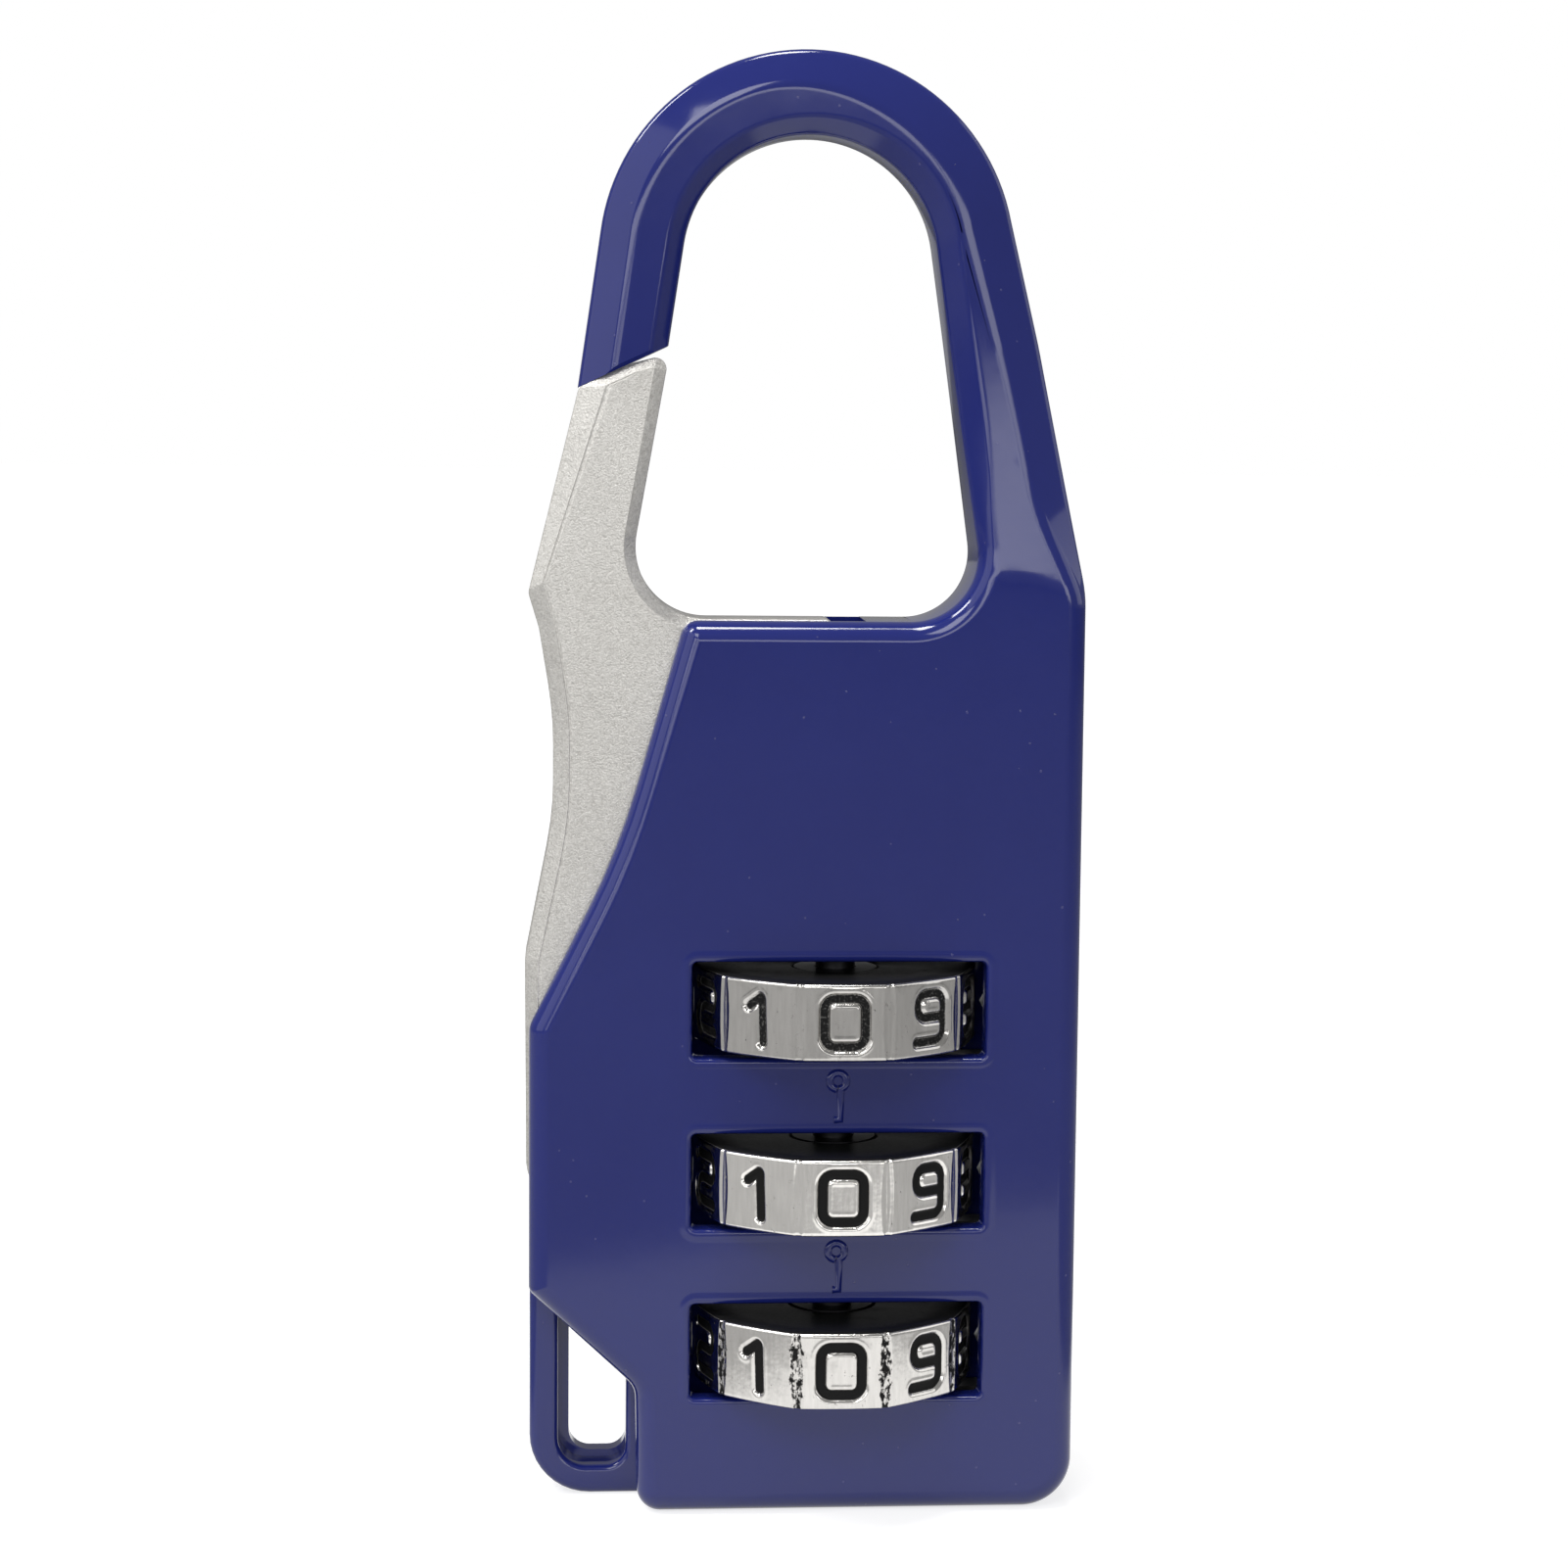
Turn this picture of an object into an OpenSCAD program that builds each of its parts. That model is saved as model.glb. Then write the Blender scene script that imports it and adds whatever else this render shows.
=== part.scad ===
// Three-dial carabiner padlock: a hooked casting with a back cover, a sprung
// gate lever, a finned spindle, three dials with clutch sleeves and a reset slide.
// +Z is up along the hook, the front faces -Y, and z = 0 is the flat bottom.

/* [Body] */
// Half of the body's depth
body_half = 3.6; // [3.4:0.1:4]
// Height of the body's top face
body_top = 49.8; // [49.6:0.1:50.2]
// Distance of the body's right side from the middle
body_right = 15.1; // [15:0.05:15.2]
// Distance of the body's left side from the middle
body_left = 15.1; // [15:0.05:15.2]
// Thickness of the front plate and of the back cover
plate_t = 1.2; // [1:0.1:1.4]
// Thickness of the right side wall
side_wall = 2; // [1.8:0.1:2.2]
// Thickness of the bottom wall
floor_t = 1.2; // [1:0.1:1.4]
// Thickness of the top wall over the gate's ledge
roof_t = 0.9; // [0.7:0.1:1]
// Corner radius at the lower right
corner_r = 2.8; // [2:0.1:3]

/* [Hook] */
// Inner radius of the hook's arch
hook_inner_r = 6.8; // [6.6:0.1:7]
// Outer radius of the hook's arch
hook_outer_r = 11.25; // [11:0.05:11.5]
// Height of the outer arch's centre
arch_z = 68.75; // [68.5:0.05:69]
// Half of the hook's depth
hook_half = 2.6; // [2.4:0.1:2.8]

/* [Dials] */
// Sideways place of the dials' common axis
dial_x = 1.8; // [1.7:0.05:1.9]
// Height of the bottom dial's middle
dial_low_z = 9.2; // [9.1:0.1:9.4]
// Distance from one dial to the next
dial_pitch = 9.5; // [9.4:0.1:9.6]
// Radius of a dial over its facets
dial_r = 7.75; // [7.6:0.05:7.8]
// Height of a dial
dial_h = 4.2; // [4:0.1:4.3]
// Radius of the grooves between a dial's facets
groove_r = 0.6; // [0.4:0.1:0.7]
// Width of a dial window
window_w = 16.1; // [16.1:0.1:16.3]
// Height of a dial window
window_h = 5.3; // [5.2:0.1:5.4]

/* [Clutch] */
// Radius of the spindle's shaft
spindle_r = 1.1; // [1:0.05:1.15]
// Outer radius of a clutch sleeve
sleeve_r = 2.3; // [2.25:0.05:2.35]
// Radius reached by the spindle's fins
fin_r = 1.75; // [1.6:0.05:1.8]
// Radial clearance of a running fit
run_gap = 0.05; // [0.03:0.01:0.08]
// Travel of the reset slide
reset_travel = 1; // [0.8:0.1:1]

/* [Gate] */
// Half of the gate lever's depth
gate_half = 2.3; // [2.1:0.05:2.3]
// Sideways place of the gate's pivot
pivot_x = -12.5; // [-12.6:0.05:-12.4]
// Height of the gate's pivot
pivot_z = 20; // [19.5:0.1:20.5]
// Radius of the gate's pivot pin
pivot_r = 1; // [0.8:0.05:1.1]

/* [Springs] */
// Wire radius of the coil springs
wire_r = 0.2; // [0.15:0.01:0.25]
// Turns of the spindle's return spring
spindle_turns = 5; // [4:1:6]
// Turns of the reset slide's spring
reset_turns = 4; // [3:1:5]

/* [Hidden] */
round_step = 6;                          // degrees between points on an outline's corner
inner_half = body_half - plate_t;        // half depth of the cavity
dial_z = [for (i = [2:-1:0]) dial_low_z + i * dial_pitch];
facets = 10;
arch_x = -0.2;
inner_arch = [0, arch_z - 0.35];        // the hook is a little thinner at its left
inner_foot_x = 9.7;                      // the leg's inner edge runs down to this point
leg_low_z = 51;                          // from here up the body's depth fades along the leg
hook_root_z = 66;                        // and has faded to the hook's here
wall_x = body_right - side_wall;         // inner face of the right side wall
roof_x = 3.1;                            // the top wall starts here, past the gate's ledge
roof_z = body_top - roof_t;
notch = [-9.1, 7];                       // corner between the strap loop and the body
lean_z = 12.5;                           // the body's lower left slant meets the left side here
// Clutch levels, measured from a dial's middle
web_low = 0.9;                           // underside of a sleeve's slotted web
web_high = 1.9;                          // top of the web and of the sleeve
chamber_low = -1.6;                      // floor of the chamber that holds an unlocked fin
sleeve_low = -4.6;
neck = [-4.1, -3.1];                     // groove for the reset slide's tab
neck_r = 1.85;
fin_low = 2.2;                           // underside of a locked fin
fin_high = 3.2;
fin_w = 0.7;
slot_w = 0.9;
key_w = 0.8;
key_r = 2.9;
key_high = 1.3;                          // top of the key, clear of the window bar when lifted
// Spindle
toe_z = body_top - 4.6;                  // underside of the gate's toe, which presses the spindle
spindle_low = dial_z[2] - 5;
spindle_high = toe_z - 0.15;
head_r = 1.2;
head_t = 0.4;
neck_cone = 0.6;                         // height of the cone under the head
collar_r = 2;
collar_t = 0.8;
relief_gap = 0.4;                        // room around a sleeve behind the window bars
relief_low = dial_z[2] - 6;
// Cross rib with the spindle's bush
rib_t = 1.4;
rib_z = [dial_z[0] + fin_high + 0.4, dial_z[0] + fin_high + 0.4 + rib_t];
rib_x = [dial_x - 5.2, dial_x + 6.6];
rib_back = 2.1;
bush_r = 1.7;
bush_rim_t = 0.4;
washer_t = 0.3;
washer_z = rib_z[1] + bush_rim_t;
spindle_spring_len = 5.7;
collar_z = washer_z + washer_t + spindle_spring_len;
// Reset slide and its spring
rail_x = [10.6, 12.4];
rail_y = [0.35, 2.1];
rail_z = [floor_t + 0.5, dial_z[0] - 1.2];
rail_mid = [(rail_x[0] + rail_x[1]) / 2, (rail_y[0] + rail_y[1]) / 2];
nib_r = 0.7;
nib_low = 0.4;
tab_t = 0.8;
tab_gap = 0.1;
peg_r = 0.45;
peg_h = 2;
root = 1;                                // how far a pin or tab runs into what carries it
reset_spring_len = 4.5;
spring_seat_z = rail_z[1] + reset_spring_len;
shelf_t = 1.2;
// Detent spring strip and fingers
strip_t = 0.35;
strip_y = [-2.1, -0.3];
bump_gap = 0.3;                          // room between a dial and the finger's bump
finger_drop = 4.4;                       // from the bump down to the finger's root
bend_rise = 1.9;
bend_depth = 1;
// Rivets of the back cover
rivet_r = 0.7;
rivet_head_r = 1.3;
rivet_head_t = 0.5;
rivet_deep = 3.4;                        // depth of a rivet below the cover's inner face
rivets = [[14.1, 5.2], [14.1, 27], [12.4, 46.6], [-7, 2.5]];
boss_r = 1.9;

function unit(v) = v / norm(v);
// Points of the arc about c, from angle a to angle b
function arc(c, r, a, b) = let (n = max(2, ceil(abs(b - a) / round_step)))
    [for (i = [0:n]) c + r * [cos(a + (b - a) * i / n), sin(a + (b - a) * i / n)]];
// Arc of radius r that rounds the corner q between p and s
function corner(p, q, s, r) = r == 0 ? [q] : let (
    u = unit(p - q),
    v = unit(s - q),
    half = acos(u * v) / 2,
    c = q + unit(u + v) * r / sin(half),
    from = q + u * r / tan(half) - c,
    to = q + v * r / tan(half) - c,
    a = atan2(from[1], from[0]),
    turn = atan2(to[1], to[0]) - a,
    b = a + (turn > 180 ? turn - 360 : turn < -180 ? turn + 360 : turn))
    arc(c, r, a, b);
function xz(p) = [p[0], p[1]];
// Both ends of a range, moved by c
function span(c, ends) = [c + ends[0], c + ends[1]];
// Outline through corners [x, z, radius]
function outline(v) = let (n = len(v))
    [for (i = [0:n - 1]) each corner(xz(v[(i + n - 1) % n]), xz(v[i]), xz(v[(i + 1) % n]), v[i][2])];
function flat(points) = [for (p = points) [p[0], p[1], 0]];

// Front view of the body below the hook, from the upper left corner clockwise
body_edge = [[-6.75, body_top, 0.9], [body_right, body_top, 0], [body_right, 0, corner_r],
    [notch[0], 0, 1.3], [notch[0] - 0.15, notch[1], 1.4], [-body_left, lean_z, 0.6],
    [-body_left, 27.2, 1.6], [-10.3, 36.9, 12]];
// Front view of the whole casting: hook, right leg and body
casting_edge = concat(
    [[-12.55, 61.9, 0.5]],
    flat(arc([arch_x, arch_z], hook_outer_r, 172.8, 11.6)),
    [[12.4, 64.4, 30], [body_right, 51, 8]],
    [for (i = [2:7]) body_edge[i]],
    [body_edge[0], [inner_foot_x, body_top, 3.6]],
    flat(arc(inner_arch, hook_inner_r, 8.8, 171)),
    [[-7.6, 64.2, 0.5]]);
// Side view of half the casting's depth: full for the body, fading to the hook's along the leg
leg_side = [[body_half, -1], [body_half, leg_low_z],
    [(body_half + hook_half) / 2, leg_low_z + 0.37 * (hook_root_z - leg_low_z)],
    [hook_half, hook_root_z], [hook_half, 81]];
// The same at the left, where the body ends below the hook's tip
tip_side = [[body_half, -1], [body_half, leg_low_z], [hook_half, leg_low_z + 3], [hook_half, 81]];
// Front view of the gate lever, from the tip's outer corner
gate_edge = [[-12.5, 61.5, 0.5], [-7.6, 63.8, 0.6], [-10.15, 49.45, 3.9],
    [1.4, 49.45, 0.5], [1.6, 47.2, 0.3], [4.8, 46.9, 0.6], [4.8, toe_z, 0.6], [-5.4, toe_z, 2],
    [-8.7, 31.5, 6], [-9.2, 17, 2.6], [-body_left - 0.15, 17, 2.6], [-body_left - 0.25, 30.8, 2],
    [-13.6, 38.8, 6], [-13.6, 42.5, 8], [-body_left - 0.1, 50.8, 1.2]];

// Slab of the flat outline below it, from depth y0 to depth y1
module slab(y0, y1) {
    translate([0, y1, 0]) rotate([90, 0, 0]) linear_extrude(y1 - y0) children();
}
// Form with the half side view v and its mirror image, from x0 to x1
module side_form(x0, x1, v) {
    n = len(v);
    translate([x0, 0, 0]) rotate([90, 0, 90]) linear_extrude(x1 - x0)
        polygon(concat(v, [for (i = [1:n]) [-v[n - i][0], v[n - i][1]]]));
}
// Round bar along the depth at [x, z]
module cross_bar(at, r, y0, y1) {
    translate([at[0], y1, at[1]]) rotate([90, 0, 0]) cylinder(r = r, h = y1 - y0, $fn = 48);
}
module box(x, y, z) {
    translate([x[0], y[0], z[0]]) cube([x[1] - x[0], y[1] - y[0], z[1] - z[0]]);
}
module dial_windows(y0, y1) {
    for (z = dial_z)
        box(span(dial_x, [-window_w / 2, window_w / 2]), [y0, y1], span(z, [-window_h / 2, window_h / 2]));
}
// Helical spring of round turns standing on z = low, as rings joined by a slanted wire
module coil(low, high, r, turns) {
    rise = (high - low - 2 * wire_r) / turns;
    for (i = [0:turns])
        translate([0, 0, low + wire_r + i * rise])
            rotate_extrude($fn = 40) translate([r, 0]) circle(r = wire_r, $fn = 16);
    for (i = [0:turns - 1])
        translate([r * cos(180 * i), r * sin(180 * i), low + wire_r + i * rise])
            cylinder(r = wire_r, h = rise, $fn = 16);
}

// Shallow hollow behind the bars between the windows, where the sleeves turn
module sleeve_relief() {
    translate([dial_x, 0, relief_low])
        cylinder(r = sleeve_r + relief_gap, h = rib_z[0] - relief_gap - relief_low, $fn = 64);
}
// Recess and hole for one rivet, cut from the back
module rivet_shape(at) {
    cross_bar(at, rivet_r, inner_half - rivet_deep, body_half);
    translate([at[0], body_half, at[1]]) rotate([90, 0, 0])
        cylinder(r = rivet_head_r, h = rivet_head_t, $fn = 48);
}

// Space inside the body for the mechanism, in front view
cavity_edge = [[-16, 48, 0], [-16, 52, 0], [roof_x, 52, 0], [roof_x, roof_z, 0],
    [wall_x, roof_z, 0.6], [wall_x, floor_t, 0.6], [-7.9, floor_t, 1], [-7.9, 8, 1.2],
    [-13, 12.9, 0], [-16, 15.8, 0]];

// Bar that a strap or cord passes behind, at the lower left, with a stepped hole
loop_outer = [[-8.6, 0, 0], [-body_left, 0, 3.4], [-body_left, 15, 0], [-8.6, 15, 0]];
loop_inner = [[-9.7, 1.6, 1.1], [-13.5, 1.6, 1.6], [-13.5, 14, 0], [-9.7, 14, 0]];
loop_back = [[-9.7, 2.05, 1.1], [-12.8, 2.05, 1.2], [-12.8, 14, 0], [-9.7, 14, 0]];
loop_y = [0.4, 3.4];
loop_step_y = 1.9;                       // behind this the hole is narrower

module body_casting() {
    color([0.12, 0.14, 0.42]) difference() {
        union() {
            difference() {
                intersection() {
                    slab(-body_half, body_half) polygon(outline(casting_edge));
                    union() {
                        side_form(0, 20, leg_side);
                        side_form(-20, 0.1, tip_side);
                    }
                }
                slab(-inner_half, body_half + 1) polygon(outline(cavity_edge));
                box([-20, 20], [inner_half, body_half + 1], [-1, body_top]);
                dial_windows(-body_half - 1, body_half);
            }
            strap_loop();
            cross_rib();
            reset_shelf();
            rivet_bosses();
        }
        for (at = rivets)
            cross_bar(at, rivet_r, inner_half - rivet_deep, body_half);
        cross_bar([pivot_x, pivot_z], pivot_r, -body_half + 0.5, 0);
        sleeve_relief();
        translate([rail_mid[0], rail_mid[1], -1])
            cylinder(r = nib_r + run_gap, h = floor_t + 2, $fn = 40);
    }
}
module strap_loop() {
    difference() {
        slab(loop_y[0], loop_y[1]) polygon(outline(loop_outer));
        slab(-5, loop_step_y) polygon(outline(loop_inner));
        slab(-5, 5) polygon(outline(loop_back));
        slab(inner_half, body_half) polygon(outline(body_edge));
        slab(-5, 5) polygon([[-8.6, -1], [-8.6, 6], [-16, 13.2], [-16, 16], [0, 16], [0, -1]]);
    }
}
// Rib across the cavity that carries the spindle's bush
module cross_rib() {
    difference() {
        box(rib_x, [-inner_half, rib_back], rib_z);
        translate([dial_x, 0, rib_z[0] - 1]) cylinder(r = bush_r, h = rib_t + 2, $fn = 48);
    }
}
// Shelf on the right wall that the reset spring pushes against
module reset_shelf() {
    box([rail_x[0] - 0.4, wall_x], [-inner_half, inner_half], span(spring_seat_z, [0, shelf_t]));
}
module rivet_bosses() {
    intersection() {
        union() {
            cross_bar(rivets[2], boss_r, -inner_half, inner_half);
            cross_bar(rivets[3], boss_r, -inner_half, inner_half);
        }
        slab(-body_half, body_half) polygon(outline(body_edge));
    }
}
module back_cover() {
    color([0.12, 0.14, 0.42]) difference() {
        slab(inner_half, body_half) polygon(outline(body_edge));
        dial_windows(0, body_half + 1);
        for (at = rivets) rivet_shape(at);
        cross_bar([pivot_x, pivot_z], pivot_r, 0, body_half - 0.5);
        sleeve_relief();
    }
}
module cover_rivets() {
    color("silver") for (at = rivets) rivet_shape(at);
}
module gate_lever() {
    color([0.72, 0.72, 0.7]) difference() {
        slab(-gate_half, gate_half) polygon(outline(gate_edge));
        cross_bar([pivot_x, pivot_z], pivot_r + run_gap, -body_half, body_half);
    }
}
module gate_pivot_pin() {
    color("silver") cross_bar([pivot_x, pivot_z], pivot_r, -body_half + 0.5, body_half - 0.5);
}
module spindle() {
    color("gold") translate([dial_x, 0, 0]) {
        translate([0, 0, spindle_low])
            cylinder(r = spindle_r, h = spindle_high - spindle_low - head_t, $fn = 48);
        translate([0, 0, spindle_high - head_t - neck_cone])
            cylinder(r1 = spindle_r, r2 = head_r, h = neck_cone, $fn = 48);
        translate([0, 0, spindle_high - head_t])
            cylinder(r1 = head_r, r2 = head_r - head_t, h = head_t, $fn = 48);
        translate([0, 0, collar_z]) cylinder(r = collar_r, h = collar_t, $fn = 48);
        for (z = dial_z) box([-fin_w / 2, fin_w / 2], [0, fin_r], span(z, [fin_low, fin_high]));
    }
}
module spindle_bush() {
    color("goldenrod") translate([dial_x, 0, rib_z[0]]) difference() {
        union() {
            cylinder(r = bush_r, h = rib_t, $fn = 48);
            translate([0, 0, rib_t]) cylinder(r = collar_r, h = bush_rim_t, $fn = 48);
        }
        translate([0, 0, -1]) cylinder(r = spindle_r + run_gap, h = rib_t + 2, $fn = 48);
    }
}
module spring_washer() {
    color("silver") translate([dial_x, 0, washer_z]) difference() {
        cylinder(r = collar_r, h = washer_t, $fn = 48);
        translate([0, 0, -1]) cylinder(r = spindle_r + 0.3, h = washer_t + 2, $fn = 48);
    }
}
module spindle_spring() {
    color("lightsteelblue") translate([dial_x, 0, 0])
        coil(washer_z + washer_t, collar_z, collar_r - wire_r - 0.1, spindle_turns);
}
module dial(z) {
    color([0.8, 0.8, 0.8]) translate([dial_x, 0, z]) difference() {
        union() {
            cylinder(r = dial_r, h = dial_h - 0.8, center = true, $fn = 120);
            for (s = [0, 1]) mirror([0, 0, s]) translate([0, 0, dial_h / 2 - 0.4])
                cylinder(r1 = dial_r, r2 = dial_r - 0.4, h = 0.4, $fn = 120);
        }
        for (i = [0:facets - 1]) rotate([0, 0, i * 360 / facets])
            translate([dial_r + 0.1, 0, -dial_h]) cylinder(r = groove_r, h = 2 * dial_h, $fn = 24);
        cylinder(r = sleeve_r + run_gap, h = 2 * dial_h, center = true, $fn = 64);
        box([-key_w / 2 - 0.1, key_w / 2 + 0.1], [-key_r - 0.1, 0], [-dial_h, dial_h]);
    }
}
module clutch_sleeve(z) {
    color("darkgoldenrod") translate([dial_x, 0, z]) difference() {
        union() {
            translate([0, 0, sleeve_low]) cylinder(r = sleeve_r, h = web_high - sleeve_low, $fn = 64);
            box([-key_w / 2, key_w / 2], [-key_r, -neck_r], [-dial_h / 2, key_high]);
        }
        translate([0, 0, sleeve_low - 1])
            cylinder(r = spindle_r + run_gap, h = web_high - sleeve_low + 2, $fn = 48);
        translate([0, 0, chamber_low]) cylinder(r = fin_r + 0.1, h = web_low - chamber_low, $fn = 48);
        box([-slot_w / 2, slot_w / 2], [0, fin_r + 0.1], [web_low - 0.1, web_high + 1]);
        translate([0, 0, neck[0]]) difference() {
            cylinder(r = sleeve_r + 1, h = neck[1] - neck[0], $fn = 48);
            translate([0, 0, -1]) cylinder(r = neck_r, h = neck[1] - neck[0] + 2, $fn = 48);
        }
    }
}
module dial_top() { dial(dial_z[0]); }
module dial_middle() { dial(dial_z[1]); }
module dial_bottom() { dial(dial_z[2]); }
module clutch_sleeve_top() { clutch_sleeve(dial_z[0]); }
module clutch_sleeve_middle() { clutch_sleeve(dial_z[1]); }
module clutch_sleeve_bottom() { clutch_sleeve(dial_z[2]); }
// Flat strip against the right wall that carries the detent fingers
module detent_strip() {
    color("lightsteelblue")
        box([wall_x - strip_t, wall_x], strip_y, [floor_t + 1, spring_seat_z - 0.2]);
}
// Bent spring finger whose bump faces a dial's groove
module detent_finger(z) {
    tip = dial_x + dial_r + bump_gap;
    bends = [[wall_x - strip_t, z - finger_drop], [tip + bend_depth, z - bend_rise], [tip, z],
        [tip + bend_depth, z + bend_rise]];
    back = [for (i = [3:-1:1]) bends[i] + [1.1 * strip_t, 0]];
    heel = bends[0] + [0, 2 * strip_t];
    color("lightsteelblue") slab(strip_y[0], strip_y[1]) polygon(concat(bends, back, [heel]));
}
module detent_finger_top() { detent_finger(dial_z[0]); }
module detent_finger_middle() { detent_finger(dial_z[1]); }
module detent_finger_bottom() { detent_finger(dial_z[2]); }
module reset_slide() {
    color("dimgray") {
        box(rail_x, rail_y, rail_z);
        translate([rail_mid[0], rail_mid[1], nib_low])
            cylinder(r = nib_r, h = rail_z[0] + root - nib_low, $fn = 40);
        translate([rail_mid[0], rail_mid[1], rail_z[1] - root])
            cylinder(r = peg_r, h = peg_h + root, $fn = 32);
        for (z = dial_z) translate([0, 0, z + neck[0] + tab_gap]) difference() {
            box([dial_x, rail_x[0] + root / 2], rail_y, [0, tab_t]);
            translate([dial_x, 0, -1]) cylinder(r = neck_r + tab_gap, h = tab_t + 2, $fn = 48);
        }
    }
}
module reset_spring() {
    color("lightsteelblue")
        translate([rail_mid[0], rail_mid[1], 0])
            coil(rail_z[1], spring_seat_z, peg_r + wire_r + 0.05, reset_turns);
}

body_casting();
back_cover();
cover_rivets();
gate_lever();
gate_pivot_pin();
spindle();
spindle_bush();
spindle_spring();
spring_washer();
dial_top();
dial_middle();
dial_bottom();
clutch_sleeve_top();
clutch_sleeve_middle();
clutch_sleeve_bottom();
detent_strip();
detent_finger_top();
detent_finger_middle();
detent_finger_bottom();
reset_slide();
reset_spring();
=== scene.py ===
import math

import bmesh
import bpy
import numpy as np
from mathutils import Matrix, Vector
from mathutils.geometry import delaunay_2d_cdt


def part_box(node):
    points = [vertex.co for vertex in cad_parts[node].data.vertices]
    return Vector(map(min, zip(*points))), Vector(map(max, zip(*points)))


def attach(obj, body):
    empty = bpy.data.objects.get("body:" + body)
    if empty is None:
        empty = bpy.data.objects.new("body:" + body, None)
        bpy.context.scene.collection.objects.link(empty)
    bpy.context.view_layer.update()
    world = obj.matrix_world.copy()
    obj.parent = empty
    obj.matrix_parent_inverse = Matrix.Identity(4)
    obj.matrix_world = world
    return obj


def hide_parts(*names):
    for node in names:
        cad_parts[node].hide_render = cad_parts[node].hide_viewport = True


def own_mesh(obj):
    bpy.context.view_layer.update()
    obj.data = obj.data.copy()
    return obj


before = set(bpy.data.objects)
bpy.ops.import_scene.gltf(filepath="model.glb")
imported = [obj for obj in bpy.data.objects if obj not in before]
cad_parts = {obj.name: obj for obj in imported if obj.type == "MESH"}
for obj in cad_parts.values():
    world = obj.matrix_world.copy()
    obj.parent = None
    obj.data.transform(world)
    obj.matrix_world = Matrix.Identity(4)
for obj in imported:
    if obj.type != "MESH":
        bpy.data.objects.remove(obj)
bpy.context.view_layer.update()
MM = 0.001

# Sizes of the lock in millimetres: x across, z up, y into the depth
BODY_HALF, BODY_TOP, BODY_SIDE = 3.6, 49.4, 15.1
PLATE_BACK, HOOK_HALF, LEVER_HALF = 2.4, 2.6, 2.3
DIAL_X, DIAL_Z, DIAL_R, DIAL_H, FACETS = 1.8, (28.2, 18.7, 9.2), 7.9, 4.2, 10
# For the top, middle and bottom dial:
LEVELS = ("top", "middle", "bottom")
DIAL_DROP = (0.0, 0.06, 0.08)       # how far it has settled on its sleeve
DIAL_WEAR = (0.25, 0.15, 0.35)      # how soiled its band is
DIAL_PAINTED_LIGHT = (0.8, 1.12, 0.95)       # painted light and shade: how much brighter or darker its metal is drawn
DIGIT_INK = (0.62, 1.0, 1.0)        # how much black its numbers keep
GROOVE_PAINTED_SHADE = (0.0, 0.0, 0.26)       # how much painted shade is spotted black into its grooves
WINDOW_W, WINDOW_H, WINDOW_R = 16.1, 5.3, 0.3
REAR_NARROW = 0.35                  # the rear windows are this much narrower each side
SLEEVE_R, CLEARANCE = 2.3, 0.05
RIVETS = ((14.1, 5.2), (14.1, 27.0), (12.4, 46.6), (-7.0, 2.5))
RIVET_R, RIVET_HEAD_R, RIVET_HEAD_T, RIVET_DEEP = 0.7, 1.3, 0.5, 3.4
PIVOT, PIVOT_R = (-12.5, 20.0), 1.0
NIB, NIB_R = (11.5, 1.225), 0.75
OUTER_ARCH, OUTER_ARCH_R = (-0.2, 68.75), 11.25
INNER_ARCH, INNER_ARCH_R = (-0.05, 68.55), 6.9
ARCH_FOOT, ARCH_MIDDLE_R = 68.0, 9.0
COIL_WIRE = 0.2                     # radius of both springs' wire
STATIONS = 16                       # rings over a rounded edge
SUPPORT = 0.05                      # width of the flat ring inside a rounded edge
LEAST_R = 0.05                      # a rounded corner never gets sharper than this
NEARLY_STRAIGHT = 0.96              # cosine of a turn whose two insets are averaged


# -------------------- outlines
# An outline is a list of corners (x, z, rounding radius), clockwise as seen from the front.
def arc_points(centre, radius, start, end, step=3.0):
    """Sharp corners along an arc given in degrees."""
    count = max(2, math.ceil(abs(end - start) / step - 0.01))
    angles = [math.radians(start + (end - start) * i / count) for i in range(count + 1)]
    return [(centre[0] + radius * math.cos(a), centre[1] + radius * math.sin(a), 0.0)
            for a in angles]


def direction(a, b):
    """Unit vector from a to b."""
    dx, dz = b[0] - a[0], b[1] - a[1]
    size = math.hypot(dx, dz)
    return dx / size, dz / size


def corner_turn(before, at, after):
    """Degrees by which an outline turns at a corner."""
    u, v = direction(before, at), direction(at, after)
    return math.degrees(math.atan2(u[0] * v[1] - u[1] * v[0], u[0] * v[0] + u[1] * v[1]))


def round_corner(before, at, after, radius, count):
    """Points of the arc that rounds a corner; one point where the radius is 0."""
    if count == 1:
        return [(at[0], at[1])]
    u, v = direction(at, before), direction(at, after)
    half = math.acos(max(-1.0, min(1.0, u[0] * v[0] + u[1] * v[1]))) / 2
    reach = radius / math.tan(half)
    start = (at[0] + u[0] * reach, at[1] + u[1] * reach)
    end = (at[0] + v[0] * reach, at[1] + v[1] * reach)
    mid = (u[0] + v[0], u[1] + v[1])
    size = math.hypot(*mid)
    far = radius / math.sin(half)
    centre = (at[0] + mid[0] / size * far, at[1] + mid[1] / size * far)
    a = math.atan2(start[1] - centre[1], start[0] - centre[0])
    b = math.atan2(end[1] - centre[1], end[0] - centre[0])
    turn = (b - a + math.pi) % (2 * math.pi) - math.pi
    return [(centre[0] + radius * math.cos(a + turn * i / (count - 1)),
             centre[1] + radius * math.sin(a + turn * i / (count - 1))) for i in range(count)]


def arc_counts(corners, step=9.0):
    """How many points each corner of an outline gets, whatever its inset."""
    n = len(corners)
    return [1 if corners[i][2] == 0 else 1 + max(2, math.ceil(abs(corner_turn(
        corners[i - 1], corners[i], corners[(i + 1) % n])) / step)) for i in range(n)]


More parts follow.
